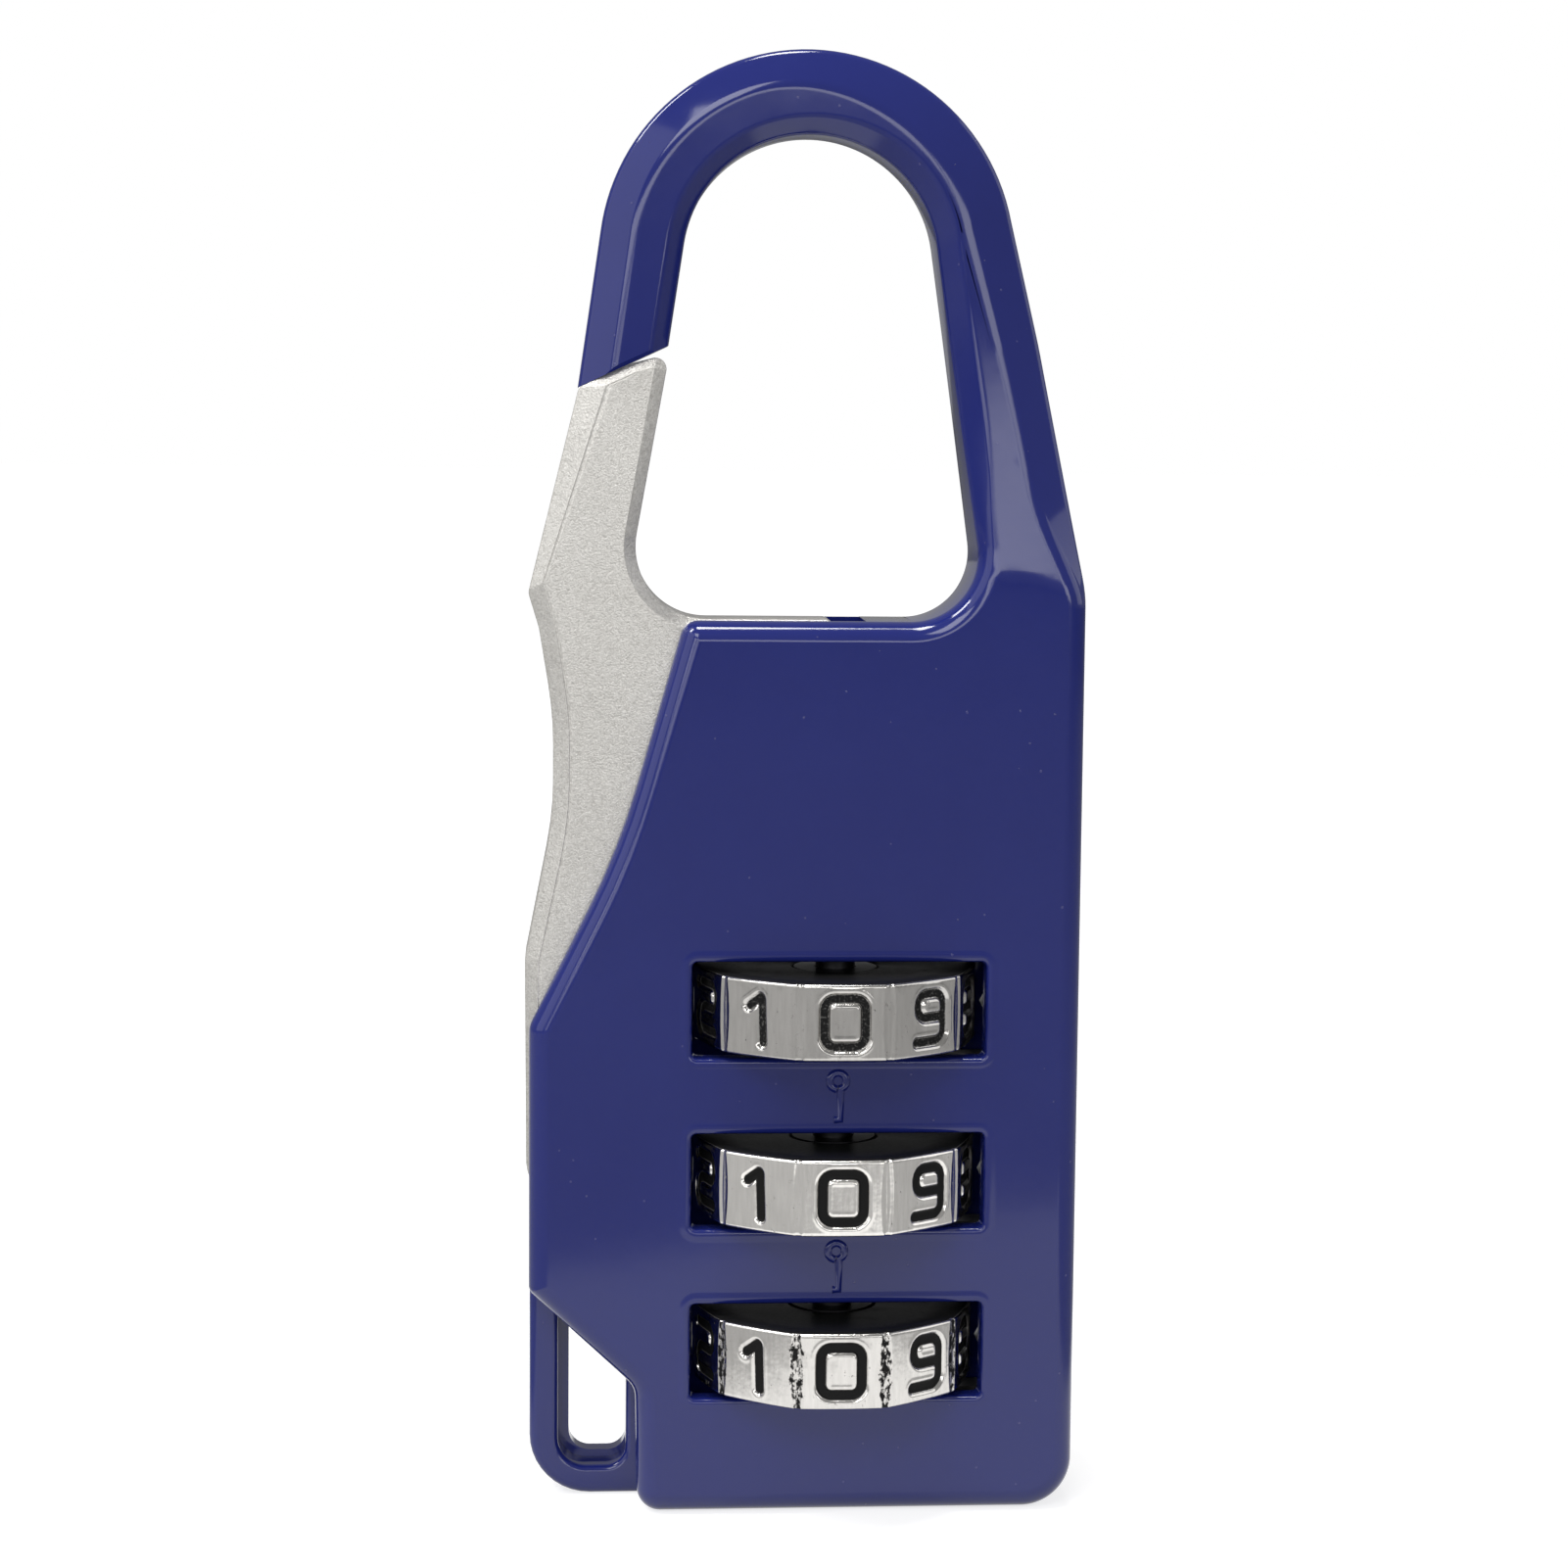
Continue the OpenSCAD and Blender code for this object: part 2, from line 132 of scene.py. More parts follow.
def pulled_in(corners, insets):
    """The outline with each corner moved in by one inset, or by a pair for its two edges."""
    n, moved = len(corners), []
    for i, (x, z, radius) in enumerate(corners):
        before, after = insets[i] if isinstance(insets[i], tuple) else (insets[i], insets[i])
        u, v = direction(corners[i - 1], corners[i]), direction(corners[i], corners[(i + 1) % n])
        n1, n2 = (u[1], -u[0]), (v[1], -v[0])
        c = n1[0] * n2[0] + n1[1] * n2[1]
        convex = n1[0] * n2[1] - n1[1] * n2[0] < 0
        mean = (before + after) / 2
        if c > NEARLY_STRAIGHT:
            a = b = mean / (1 + c)
        else:
            a, b = (before - c * after) / (1 - c * c), (after - c * before) / (1 - c * c)
        r = 0 if radius == 0 else max(radius - mean if convex else radius + mean, LEAST_R)
        moved.append((x + a * n1[0] + b * n2[0], z + a * n1[1] + b * n2[1], r))
    return moved


def traced(corners, counts):
    """All points of an outline, with the number of its corner for each."""
    n, points, owners = len(corners), [], []
    for i in range(n):
        after = corners[(i + 1) % n]
        arc = round_corner(corners[i - 1], corners[i], after, corners[i][2], counts[i])
        points += arc
        owners += [i] * len(arc)
    return points, owners


def softened(corners, long_radius=2.5, step=3.0, spacing=0.8, low=47.0, high=66.0, top=70.0):
    """Outline whose wide arcs, and edges that start between two heights, are split short."""
    n, fine = len(corners), []
    for i, corner in enumerate(corners):
        if corner[2] >= long_radius:
            around = corners[i - 1], corner, corners[(i + 1) % n]
            count = 1 + max(2, math.ceil(abs(corner_turn(*around)) / step))
            fine += [(x, z, 0.0) for x, z in round_corner(*around, corner[2], count)]
        else:
            fine.append(corner)
    result = []
    for i, (x, z, radius) in enumerate(fine):
        result.append((x, z, radius))
        nx, nz, _ = fine[(i + 1) % len(fine)]
        if low <= min(z, nz) < high and max(z, nz) <= top:
            parts = int(math.hypot(nx - x, nz - z) / spacing)
            result += [(x + (nx - x) * j / parts, z + (nz - z) * j / parts, 0.0)
                       for j in range(1, parts)]
    return result


BODY_EDGE = [(-6.75, BODY_TOP, 1.0), (BODY_SIDE, BODY_TOP, 0), (BODY_SIDE, 0, 2.8),
             (-9.1, 0, 1.3), (-9.25, 7, 1.4), (-BODY_SIDE, 12.5, 0.6), (-BODY_SIDE, 27.2, 1.6),
             (-10.3, 36.9, 40)]
# The body's edge, the leg, round the arch to the hook's free end and back inside it
CASTING_EDGE = ([(-13.15, 57.7, 0.0)] + arc_points(OUTER_ARCH, OUTER_ARCH_R, 172.8, 11.6)
                + [(12.4, 64.4, 30), (BODY_SIDE, 51, 8)] + BODY_EDGE[2:]
                + [BODY_EDGE[0], (9.7, BODY_TOP, 3.6)]
                + arc_points(INNER_ARCH, INNER_ARCH_R, 8.8, 171) + [(-8.3, 60.0, 0.0)])
HOOK_CUT = ((-12.55, 61.85), (-7.6, 64.17))     # the line on which the hook ends
LEVER_EDGE = [(-12.5, 61.85, 0.35), (-9.6, 63.19, 1.5), (-7.64, 63.70, 0.6),
              (-10.15, 49.45, 3.9), (1.4, 49.45, 0.5), (1.6, 47.2, 0.3), (4.8, 46.9, 0.6),
              (4.8, 45.2, 0.6), (-5.4, 45.2, 2), (-8.7, 31.5, 6), (-9.2, 17, 2.6),
              (-15.25, 17, 2.6), (-15.35, 30.8, 2), (-13.84, 38.6, 20), (-13.84, 44.2, 20),
              (-14.62, 48.9, 2), (-15.2, 50.8, 0.8)]
# Width of the lever's bevel at each of these corners, on the edge before and the edge after
LEVER_BEVELS = [(1.35, 0.5), (0.5, 0.5), (0.5, 0.65), (0.65, 0.65), (0.65, 0.2), (0.2, 0.2),
                (0.2, 0.2), (0.2, 0.2), (0.2, 0.3), (0.3, 0.3), (0.3, 0.3), (0.3, 0.5),
                (0.6, 0.85), (0.85, 0.85), (0.85, 0.85), (0.85, 0.85), (0.85, 0.6)]
LEVER_TIP = 3                       # its first corners, whose bevel is shallow
LEVER_LEFT = 12                     # from here its corners lie on the creased left side
LOOP_OUTER = [(-BODY_SIDE, 16.0, 0), (-8.2, 16.0, 0), (-8.2, 0, 0), (-BODY_SIDE, 0, 3.4)]
LOOP_HOLE = [(-13.5, 15.0, 0), (-9.7, 15.0, 0), (-9.7, 1.6, 1.1), (-13.5, 1.6, 1.6)]
LOOP_STEP = [(-12.9, 15.0, 0), (-9.7, 15.0, 0), (-9.7, 2.0, 1.0), (-12.9, 2.0, 1.2)]
LOOP_TRIM = [(-20, 20, 0), (-4, 20, 0), (-4, -1, 0), (-8.9, -1, 0), (-8.9, 6.4, 0), (-9.7, 6.9, 0),
             (-9.7, 7.6, 0), (-13.5, 11.5, 0), (-20, 17.1, 0)]
LOOP_FRONT, LOOP_BACK, LOOP_STEP_Y = 0.4, 3.4, 2.3
LOOP_ROUND, HOLE_ROUND = 0.45, 0.35
CAVITY_EDGE = [(-16, 48, 0), (-16, 52, 0), (3.1, 52, 0), (3.1, 48.9, 0), (13.1, 48.9, 0.6),
               (13.1, 1.2, 0.6), (-7.9, 1.2, 1), (-7.9, 8, 1.2), (-13, 12.9, 0), (-16, 15.8, 0)]
# Spans in x, y and z of the two cross ribs inside
RIBS = (((-3.4, 8.4), (-2.5, 2.1), (31.8, 33.2)), ((10.2, 13.2), (-2.5, 2.4), (31.5, 32.7)))


def smooth(a, b, x):
    """0 below a, 1 above b, smooth between."""
    t = max(0.0, min(1.0, (x - a) / (b - a)))
    return t * t * (3 - 2 * t)


# -------------------- edge profiles
# A profile is a list of stations: how far in from the outline, and how far below the face.
def quarter_round(radius, end=86.5):
    """Rounded edge that meets the face in a faint crease."""
    stations = []
    top = 1 - math.sin(math.radians(end))
    for k in range(STATIONS):
        a = math.radians(end * k / (STATIONS - 1))
        stations.append((radius * (1 - math.cos(a)),
                         radius * (1 - math.sin(a) - top) / (1 - top)))
    return stations


def soft_chamfer(wide, deep, low_r, high_r):
    """Chamfer whose two edges are rounded."""
    path = [(0.0, deep + 1.0), (0.0, deep), (wide, 0.0), (wide + 1.0, 0.0)]
    few = STATIONS // 3
    low = round_corner(path[0], path[1], path[2], low_r, few)
    high = round_corner(path[1], path[2], path[3], high_r, STATIONS - few)
    return low + high


# -------------------- mesh building
class Shell:
    """Grows a mesh in millimetres from rings, walls and flat caps."""

    def __init__(self):
        self.points, self.faces, self.slots = [], [], []

    def ring(self, points):
        start = len(self.points)
        self.points += points
        return list(range(start, len(self.points)))

    def wall(self, first, second, slot=0):
        n = len(first)
        for i in range(n):
            j = (i + 1) % n
            self.faces.append((first[i], first[j], second[j], second[i]))
            self.slots.append(slot)

    def skin(self, rings, slot=0):
        """Walls from each ring to the next."""
        for first, second in zip(rings, rings[1:]):
            self.wall(first, second, slot)

    def lid(self, ring, slot=0):
        """One flat face over a ring."""
        self.faces.append(tuple(ring))
        self.slots.append(slot)

    def cap(self, outer, holes=(), extra=(), depth=None, slot=0):
        """Flat or gently shaped face inside one ring, round its holes, through extra points."""
        loops = [outer] + list(holes)
        ids = [i for loop in loops for i in loop]
        flat = [Vector((self.points[i][0], self.points[i][2])) for i in ids]
        edges, start = [], 0
        for loop in loops:
            n = len(loop)
            edges += [(start + i, start + (i + 1) % n) for i in range(n)]
            start += n
        rim, *gaps = [np.array([[self.points[i][0], self.points[i][2]] for i in loop])
                      for loop in loops]

        def covered(p):
            return inside(rim, p) and not any(inside(gap, p) for gap in gaps)

        spare = [p for p in extra if covered(p)]
        ids += self.ring([(p[0], depth(p[0], p[1]), p[1]) for p in spare])
        flat += [Vector(p) for p in spare]
        spots, _, triangles, origins = delaunay_2d_cdt(flat, edges, [], 0, 1e-7)[:4]
        for triangle in triangles:
            if covered(sum((spots[v] for v in triangle), Vector((0, 0))) / 3):
                corners = [origins[v] for v in triangle]
                if all(corners):
                    self.faces.append(tuple(ids[c[0]] for c in corners))
                    self.slots.append(slot)

    def mesh(self, name):
        """The mesh in metres, with doubles merged and faces pointing outwards."""
        data = bpy.data.meshes.new(name)
        data.from_pydata([(x * MM, y * MM, z * MM) for x, y, z in self.points], [], self.faces)
        data.polygons.foreach_set("material_index", self.slots)
        work = bmesh.new()
        work.from_mesh(data)
        bmesh.ops.remove_doubles(work, verts=work.verts, dist=1e-8)
        bmesh.ops.dissolve_degenerate(work, edges=work.edges, dist=1e-8)
        bmesh.ops.recalc_face_normals(work, faces=work.faces)
        work.to_mesh(data)
        work.free()
        return data

    def build(self, name):
        return placed(name, self.mesh(name))


def placed(name, data):
    """A new object in the scene for a mesh, lamp or camera."""
    piece = bpy.data.objects.new(name, data)
    bpy.context.scene.collection.objects.link(piece)
    return piece


def inside(loop, p):
    """Whether a point lies inside a closed loop."""
    x, z = loop[:, 0], loop[:, 1]
    x2, z2 = np.roll(x, -1), np.roll(z, -1)
    crossing = (z > p[1]) != (z2 > p[1])
    span = np.where(z2 == z, 1.0, z2 - z)
    return bool(np.count_nonzero(crossing & (p[0] < (x2 - x) * (p[1] - z) / span + x)) % 2)


def boolean(piece, tool, operation="DIFFERENCE"):
    """Cuts a tool from a piece, or joins them, and uses the tool up."""
    modifier = piece.modifiers.new("cut", "BOOLEAN")
    modifier.object, modifier.operation, modifier.solver = tool, operation, "EXACT"
    modifier.material_mode = "TRANSFER"
    baked(piece)
    bpy.data.objects.remove(tool)


def baked(piece):
    """Applies a piece's modifiers to its mesh."""
    graph = bpy.context.evaluated_depsgraph_get()
    graph.update()
    mesh = bpy.data.meshes.new_from_object(piece.evaluated_get(graph))
    piece.modifiers.clear()
    old, piece.data = piece.data, mesh
    mesh.name = piece.name
    bpy.data.meshes.remove(old)


def slab(name, corners, y0, y1, slot=0):
    """Straight-sided block with this outline, from y0 to y1."""
    shell = Shell()
    points, _ = traced(corners, arc_counts(corners))
    front = shell.ring([(x, y0, z) for x, z in points])
    back = shell.ring([(x, y1, z) for x, z in points])
    shell.wall(front, back, slot)
    shell.cap(front, slot=slot)
    shell.cap(back, slot=slot)
    return shell.build(name)


def box_tool(name, x, y, z, slot=0):
    """Box over spans in x, y and z."""
    return slab(name, [(x[0], z[0], 0), (x[0], z[1], 0), (x[1], z[1], 0), (x[1], z[0], 0)],
                y[0], y[1], slot)


def lathe(name, profile, centre, axis="Z", steps=48, slot=0):
    """Closed turned form from (radius, height) pairs, about an axis through centre."""
    shell, rings = Shell(), []
    for radius, height in profile:
        points = []
        for i in range(steps):
            a = 2 * math.pi * i / steps
            u, v = radius * math.cos(a), radius * math.sin(a)
            if axis == "Z":
                points.append((centre[0] + u, centre[1] + v, centre[2] + height))
            else:
                points.append((centre[0] + u, centre[1] + height, centre[2] + v))
        rings.append(shell.ring(points))
    shell.skin(rings, slot)
    shell.lid(rings[0], slot)
    shell.lid(rings[-1], slot)
    return shell.build(name)


def finished(piece, body, materials, replaces=(), angle=32.0):
    """Materials, smooth shading with edges sharper than the angle crisp, and the frame's labels."""
    mesh = piece.data
    mesh.materials.clear()
    for material in materials:
        mesh.materials.append(material)
    mesh.polygons.foreach_set("use_smooth", [True] * len(mesh.polygons))
    mesh.set_sharp_from_angle(angle=math.radians(angle))
    mesh.update()
    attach(piece, body)
    if replaces:
        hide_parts(*replaces)


# -------------------- finishes
class Wire:
    """A shader socket; an expression on wires and numbers adds Math nodes."""

    def __init__(self, finish, socket):
        self.finish, self.socket = finish, socket

    def math(self, operation, first, second):
        return self.finish.node("ShaderNodeMath", {"operation": operation}, {0: first, 1: second})

    def __add__(self, other): return self.math("ADD", self, other)
    def __radd__(self, other): return self.math("ADD", other, self)
    def __sub__(self, other): return self.math("SUBTRACT", self, other)
    def __rsub__(self, other): return self.math("SUBTRACT", other, self)
    def __mul__(self, other): return self.math("MULTIPLY", self, other)
    def __rmul__(self, other): return self.math("MULTIPLY", other, self)

    def above(self, low, high):
        """0 below low, 1 above high, smooth between."""
        return self.finish.node("ShaderNodeMapRange", {"interpolation_type": "SMOOTHSTEP"},
                                {"Value": self, "From Min": low, "From Max": high})


class Finish:
    """A material, built one node at a time."""

    def __init__(self, name):
        self.material = bpy.data.materials.new(name)
        self.material.use_nodes = True
        self.tree = self.material.node_tree
        self.tree.nodes.clear()

    def node(self, kind, settings=None, sockets=None, out=0):
        """Adds a node: its type, settings, the values or wires of its sockets, and the output."""
        made = self.tree.nodes.new(kind)
        for key, value in (settings or {}).items():
            if key == "stops":
                ramp = made.color_ramp.elements
                while len(ramp) < len(value):
                    ramp.new(0.5)
                for element, (place, shade) in zip(ramp, value):
                    element.position, element.color = place, (*shade, 1.0)
            else:
                setattr(made, key, value)
        for key, value in (sockets or {}).items():
            if isinstance(value, Wire):
                self.tree.links.new(value.socket, made.inputs[key])
            else:
                socket = made.inputs[key]
                if socket.type == "RGBA" and len(value) == 3:
                    value = (*value, 1.0)
                socket.default_value = value
        return Wire(self, made.outputs[out])

    def place(self, scale=(1.0, 1.0, 1.0)):
        """Object coordinates in millimetres, stretched by scale."""
        spot = self.node("ShaderNodeTexCoord", out="Object")
        return self.node("ShaderNodeVectorMath", {"operation": "MULTIPLY"},
                         {0: spot, 1: tuple(1000.0 * s for s in scale)})

    def noise(self, where, size, detail=2.0, rough=0.5):
        """Cloudy values from 0 to 1 whose lumps are about size millimetres."""
        return self.node("ShaderNodeTexNoise", None, {
            "Vector": where, "Scale": 1.0 / size, "Detail": detail, "Roughness": rough})

    def specks(self, where, size, share, soft=0.1):
        """1 in scattered round specks, 0 between them; share sets how large they are."""
        far = self.node("ShaderNodeTexVoronoi", None, {"Vector": where, "Scale": 1.0 / size})
        return 1.0 - far.above(share * (1 - soft), share)

    def blend(self, factor, first, second):
        """One colour at factor 0, the other at 1."""
        return self.node("ShaderNodeMix", {"data_type": "RGBA"}, {0: factor, 6: first, 7: second},
                         out=2)

    def bump(self, height, distance, base=None):
        """Relief that is distance millimetres high, on top of the base's."""
        sockets = {"Height": height, "Distance": distance * MM, "Strength": 1.0}
        if base:
            sockets["Normal"] = base
        return self.node("ShaderNodeBump", None, sockets)

    def shine(self, **sockets):
        """Ends the material in a Principled shader with these sockets."""
        named = {key.replace("_", " "): value for key, value in sockets.items()}
        self.ends_in(self.node("ShaderNodeBsdfPrincipled", None, named))
        return self.material

    def ends_in(self, shader):
        end = self.tree.nodes.new("ShaderNodeOutputMaterial")
        self.tree.links.new(shader.socket, end.inputs["Surface"])


def glossy_blue_paint():
    f = Finish("glossy_blue_paint")
    where = f.place()
    flow = f.noise(where, 9.0, 1.0)
    cloud = f.noise(where, 2.2, 3.0)
    fine = f.noise(where, 0.35, 2.0)
    dust = f.specks(where, 1.3, 0.055)
    tone = (flow - 0.5) * 0.5 + (cloud - 0.5) * 0.3 + 0.5
    colour = f.blend(tone, (0.0075, 0.0125, 0.122), (0.0125, 0.020, 0.155))
    colour = f.blend(dust * 0.4, colour, (0.10, 0.10, 0.26))
    orange_peel = f.noise(where, 1.1, 1.0)
    skin = f.bump(flow, 0.03)
    skin = f.bump(orange_peel, 0.002, skin)
    skin = f.bump(dust, 0.02, skin)
    return f.shine(Base_Color=colour, Roughness=0.10 + (cloud - 0.5) * 0.04 + (fine - 0.5) * 0.02,
                   Normal=skin, IOR=1.5)


def grained_silver_paint():
    f = Finish("grained_silver_paint")
    where = f.place()
    grain = f.noise(where, 0.11, 2.0, 0.6)
    flake = f.noise(where, 0.28, 2.0, 0.6)
    cloud = f.noise(where, 5.0, 1.0)
    tone = (grain - 0.5) * 1.3 + (flake - 0.5) * 0.55 + (cloud - 0.5) * 0.35 + 0.5
    colour = f.node("ShaderNodeValToRGB", {"stops": [
        (0.0, (0.38, 0.365, 0.34)), (0.5, (0.575, 0.56, 0.53)), (1.0, (0.75, 0.735, 0.70))]},
        {"Fac": tone})
    skin = f.bump(grain, 0.025)
    skin = f.bump(flake, 0.015, skin)
    return f.shine(Base_Color=colour, Metallic=0.6, Roughness=0.36 + (flake - 0.5) * 0.2,
                   Normal=skin)


def bright_nickel(name, wear, tone):
    """Nickel band, black where the mesh's ink and shade value is 1, and spotted black as painted
    shade where it is below 0; tone is painted light and shade on the whole metal.
    """
    f = Finish(name)
    where = f.place()
    streak = f.noise(f.place((1.0, 1.0, 0.12)), 0.22, 3.0, 0.6)
    smudge = f.noise(where, 1.4, 3.0, 0.6)
    fine = f.noise(where, 0.12, 2.0)
    ink = f.node("ShaderNodeAttribute", {"attribute_name": "ink"}, out="Fac")
    chips = f.noise(f.place((1.0, 1.0, 0.6)), 0.3, 3.0, 0.7)
    black = (ink + (fine - 0.5) * 0.25).above(0.42, 0.62)
    # Black specks, and more of them where the value is below 0: painted shade in the grooves
    black = black + (0.35 - ink - chips).above(0.0, 0.12)
    soil = smudge.above(0.56, 0.78) * wear
    # tone makes this dial's metal brighter or darker all over: painted light and shade
    dull, clean = [tuple(tone * c for c in colour)
                   for colour in ((0.54, 0.525, 0.50), (0.76, 0.74, 0.71))]
    metal = f.blend(streak, dull, clean)
    metal = f.blend(soil, metal, (0.16, 0.15, 0.14))
    colour = f.blend(black, metal, (0.008, 0.008, 0.008))
    skin = f.bump(streak, 0.006)
    skin = f.bump(smudge, 0.02, skin)
    return f.shine(Base_Color=colour, Metallic=1.0 - black * 0.95,
                   Roughness=0.15 + (streak - 0.5) * 0.12 + soil * 0.3 + black * 0.3, Normal=skin,
                   IOR=1.2)


def turned_metal(name, dark, light, rough):
    f = Finish(name)
    where = f.place()
    turning = f.noise(f.place((0.3, 0.3, 3.0)), 0.4, 2.0)
    cloud = f.noise(where, 1.5, 2.0)
    colour = f.blend(turning * 0.6 + cloud * 0.4, dark, light)
    return f.shine(Base_Color=colour, Metallic=1.0, Roughness=rough + (cloud - 0.5) * 0.15,
                   Normal=f.bump(turning, 0.008))


def dark_matt_finish(name, dark, light, rough):
    f = Finish(name)
    where = f.place()
    grain = f.noise(where, 0.25, 3.0)
    cloud = f.noise(where, 2.5, 2.0)
    return f.shine(Base_Color=f.blend(cloud, dark, light), Roughness=rough + (grain - 0.5) * 0.2,
                   Normal=f.bump(grain, 0.02))


PAINT = glossy_blue_paint()
SILVER = grained_silver_paint()
# Near-black for the casting's inside and its windows' side walls: painted shade
SHADE_BLACK_INSIDE = dark_matt_finish("black_interior", (0.006, 0.006, 0.009), (0.014, 0.014, 0.018), 0.5)
BRASS = turned_metal("turned_brass", (0.50, 0.36, 0.15), (0.74, 0.56, 0.28), 0.3)
STEEL = turned_metal("plain_steel", (0.42, 0.42, 0.43), (0.66, 0.66, 0.66), 0.32)
# Near-black steel for the spindle and the clutch sleeves: painted shade inside the case
SHADE_BLACK_STEEL = turned_metal("blacked_steel", (0.020, 0.020, 0.022), (0.045, 0.045, 0.048), 0.4)
PLASTIC = dark_matt_finish("moulded_plastic", (0.04, 0.04, 0.042), (0.07, 0.07, 0.07), 0.45)


# -------------------- casting and back cover
PLATE_ROUND = 1.18
# Chamfers along the hook's outer and inner edge, and the heights on the leg between which they
# take over from the plate's rounded edge
SLOPES = ((1.70, 0.90, 0.45, 1.2), (0.9, 0.8, 0.5, 0.5))
BLENDS = ((50.0, 57.5), (51.0, 58.0))
# The plate's face falls away to the hook's between two heights, sooner at the leg's sides
LEG_X, LEG_START, LEG_END, LEG_SOONER, LEG_MOST = 10.8, 52.0, 66.5, 0.08, 2.2
# Extra points on that face: the first one, their spacing, and how many across and up
LEG_GRID = (8.5, 49.6, 0.45, 16, 38)


def half_depth(x, z):
    """Depth of the front and back faces from the middle, at a place in the front view."""
    if x < 0:
        return BODY_HALF if z < LEG_START else HOOK_HALF
    start = LEG_START - min(LEG_SOONER * (x - LEG_X) ** 2, LEG_MOST)
    t = max(0.0, min(1.0, (z - start) / (LEG_END - start)))
    return HOOK_HALF + (BODY_HALF - HOOK_HALF) * (1 - t) ** 1.5


def is_inner(x, z):
    """Whether an edge of the hook faces its opening."""
    if z >= ARCH_FOOT:
        return math.hypot(x - INNER_ARCH[0], z - INNER_ARCH[1]) < ARCH_MIDDLE_R
    return x < 9.3 + (ARCH_FOOT - z) * 0.18 if x > 0 else x > -10.0


def window_corners(z, grow=0.0, narrow=0.0):
    """Outline of a dial's window, grown all round and narrowed at its sides."""
    half = WINDOW_W / 2 + grow - narrow
    x0, x1 = DIAL_X - half, DIAL_X + half
    z0, z1 = z - WINDOW_H / 2 - grow, z + WINDOW_H / 2 + grow
    r = WINDOW_R + grow
    return [(x0, z1, r), (x1, z1, r), (x1, z0, r), (x0, z0, r)]


# The lip round a window, outset and drop: a low bead of paint, then the rounded edge
LIP = ((0.75, 0.0), (0.65, 0.0), (0.52, -0.012), (0.40, -0.025), (0.28, -0.025), (0.18, -0.005),
       (0.11, 0.03), (0.06, 0.08), (0.02, 0.16), (0.0, 0.28))


def slope_shares(x, z):
    """Width of the hook's outer and inner slopes here, as shares of their profiles' widths."""
    right, high = smooth(-4.0, 8.0, x), smooth(59.0, 72.0, z)
    leg = smooth(-1.0, 6.0, x) * smooth(51.0, 61.0, z)
    return 1.04 + right * (0.14 + 0.26 * high), 1.0 + leg * (0.45 - 0.22 * high)


def edge_rings(corners):
    """Each corner's inset and drop, for every ring from the side wall up to the face."""
    rings = []
    profiles = zip(quarter_round(PLATE_ROUND), *(soft_chamfer(*slope) for slope in SLOPES))
    for plate, *slopes in profiles:
        insets, drops = [], []
        for x, z, _ in corners:
            inner = is_inner(x, z)
            slope = slopes[inner]
            b = smooth(*BLENDS[inner], z) if x > 0 else float(z > LEG_START)
            insets.append(plate[0] * (1 - b) + slope[0] * slope_shares(x, z)[inner] * b)
            drops.append(plate[1] * (1 - b) + slope[1] * b)
        rings.append((insets, drops))
    rings.append(([inset + SUPPORT for inset in insets], [0.0] * len(corners)))
    return rings


def lock_form(name):
    """The lock's whole outer form in one closed mesh: body, leg and hook, with the windows."""
    corners = softened(CASTING_EDGE)
    counts, edge = arc_counts(corners), edge_rings(corners)
    x0, z0, gap, across, up = LEG_GRID
    grid = [(x0 + gap * i, z0 + gap * j) for i in range(across) for j in range(up)]
    shell, sides = Shell(), []
    for way in (-1, 1):
        rings = []
        for insets, drops in edge:
            points, owners = traced(pulled_in(corners, insets), counts)
            rings.append(shell.ring([(x, way * (half_depth(x, z) - drops[owner]), z)
                                     for (x, z), owner in zip(points, owners)]))
        shell.skin(rings)
        lips = []
        for middle in DIAL_Z:
            window_counts = arc_counts(window_corners(middle), 15.0)
            lip = []
            for grow, drop in LIP:
                outline = window_corners(middle, grow, REAR_NARROW if way > 0 else 0.0)
                points, _ = traced(outline, window_counts)
                lip.append(shell.ring([(x, way * (BODY_HALF - drop), z) for x, z in points]))
            shell.skin(lip)
            lips.append(lip)
        shell.cap(rings[-1], [lip[0] for lip in lips], grid, lambda x, z: way * half_depth(x, z))
        sides.append((rings[0], [lip[-1] for lip in lips]))
    shell.wall(sides[0][0], sides[1][0])
    # The windows' side walls are near-black: painted shade
    for front, back in zip(sides[0][1], sides[1][1]):
        shell.wall(front, back, 1)
    piece = shell.build(name)
    for _ in (PAINT, SHADE_BLACK_INSIDE):       # empty slots, so that each cut keeps its own number
        piece.data.materials.append(None)
    boolean(piece, hook_end_cut())
    return piece


def hook_end_cut():
    """Tool that ends the hook on a slant, with a fine chamfer along both faces."""
    (ux, uz), fine, wide, deep = direction(*HOOK_CUT), 0.2, 5, 6.0
    rise = wide - HOOK_HALF + fine
    across = [(-wide, -deep), (-wide, rise), (fine - HOOK_HALF, 0), (HOOK_HALF - fine, 0),
              (wide, rise), (wide, -deep)]
    shell, ends = Shell(), []
    for (x0, z0), beyond in zip(HOOK_CUT, (-4.5, 1.6)):
        ends.append(shell.ring([(x0 + beyond * ux - s * uz, y, z0 + beyond * uz + s * ux)
                                for y, s in across]))
    shell.wall(*ends)
    for end in ends:
        shell.lid(end)
    return shell.build("hook_end_cut")


def rounded_slab(name, corners, y0, y1, radius):
    """Slab whose outline edge is rounded on its front and back."""
    counts = arc_counts(corners)
    shell, ends = Shell(), []
    for way, face in ((-1, y0), (1, y1)):
        rings = []
        for inset, drop in quarter_round(radius)[::2] + [(radius, 0.0)]:
            points, _ = traced(pulled_in(corners, [inset] * len(corners)), counts)
            rings.append(shell.ring([(x, face - way * drop, z) for x, z in points]))
        shell.skin(rings)
        shell.cap(rings[-1])
        ends.append(rings[0])
    shell.wall(*ends)
    return shell.build(name)


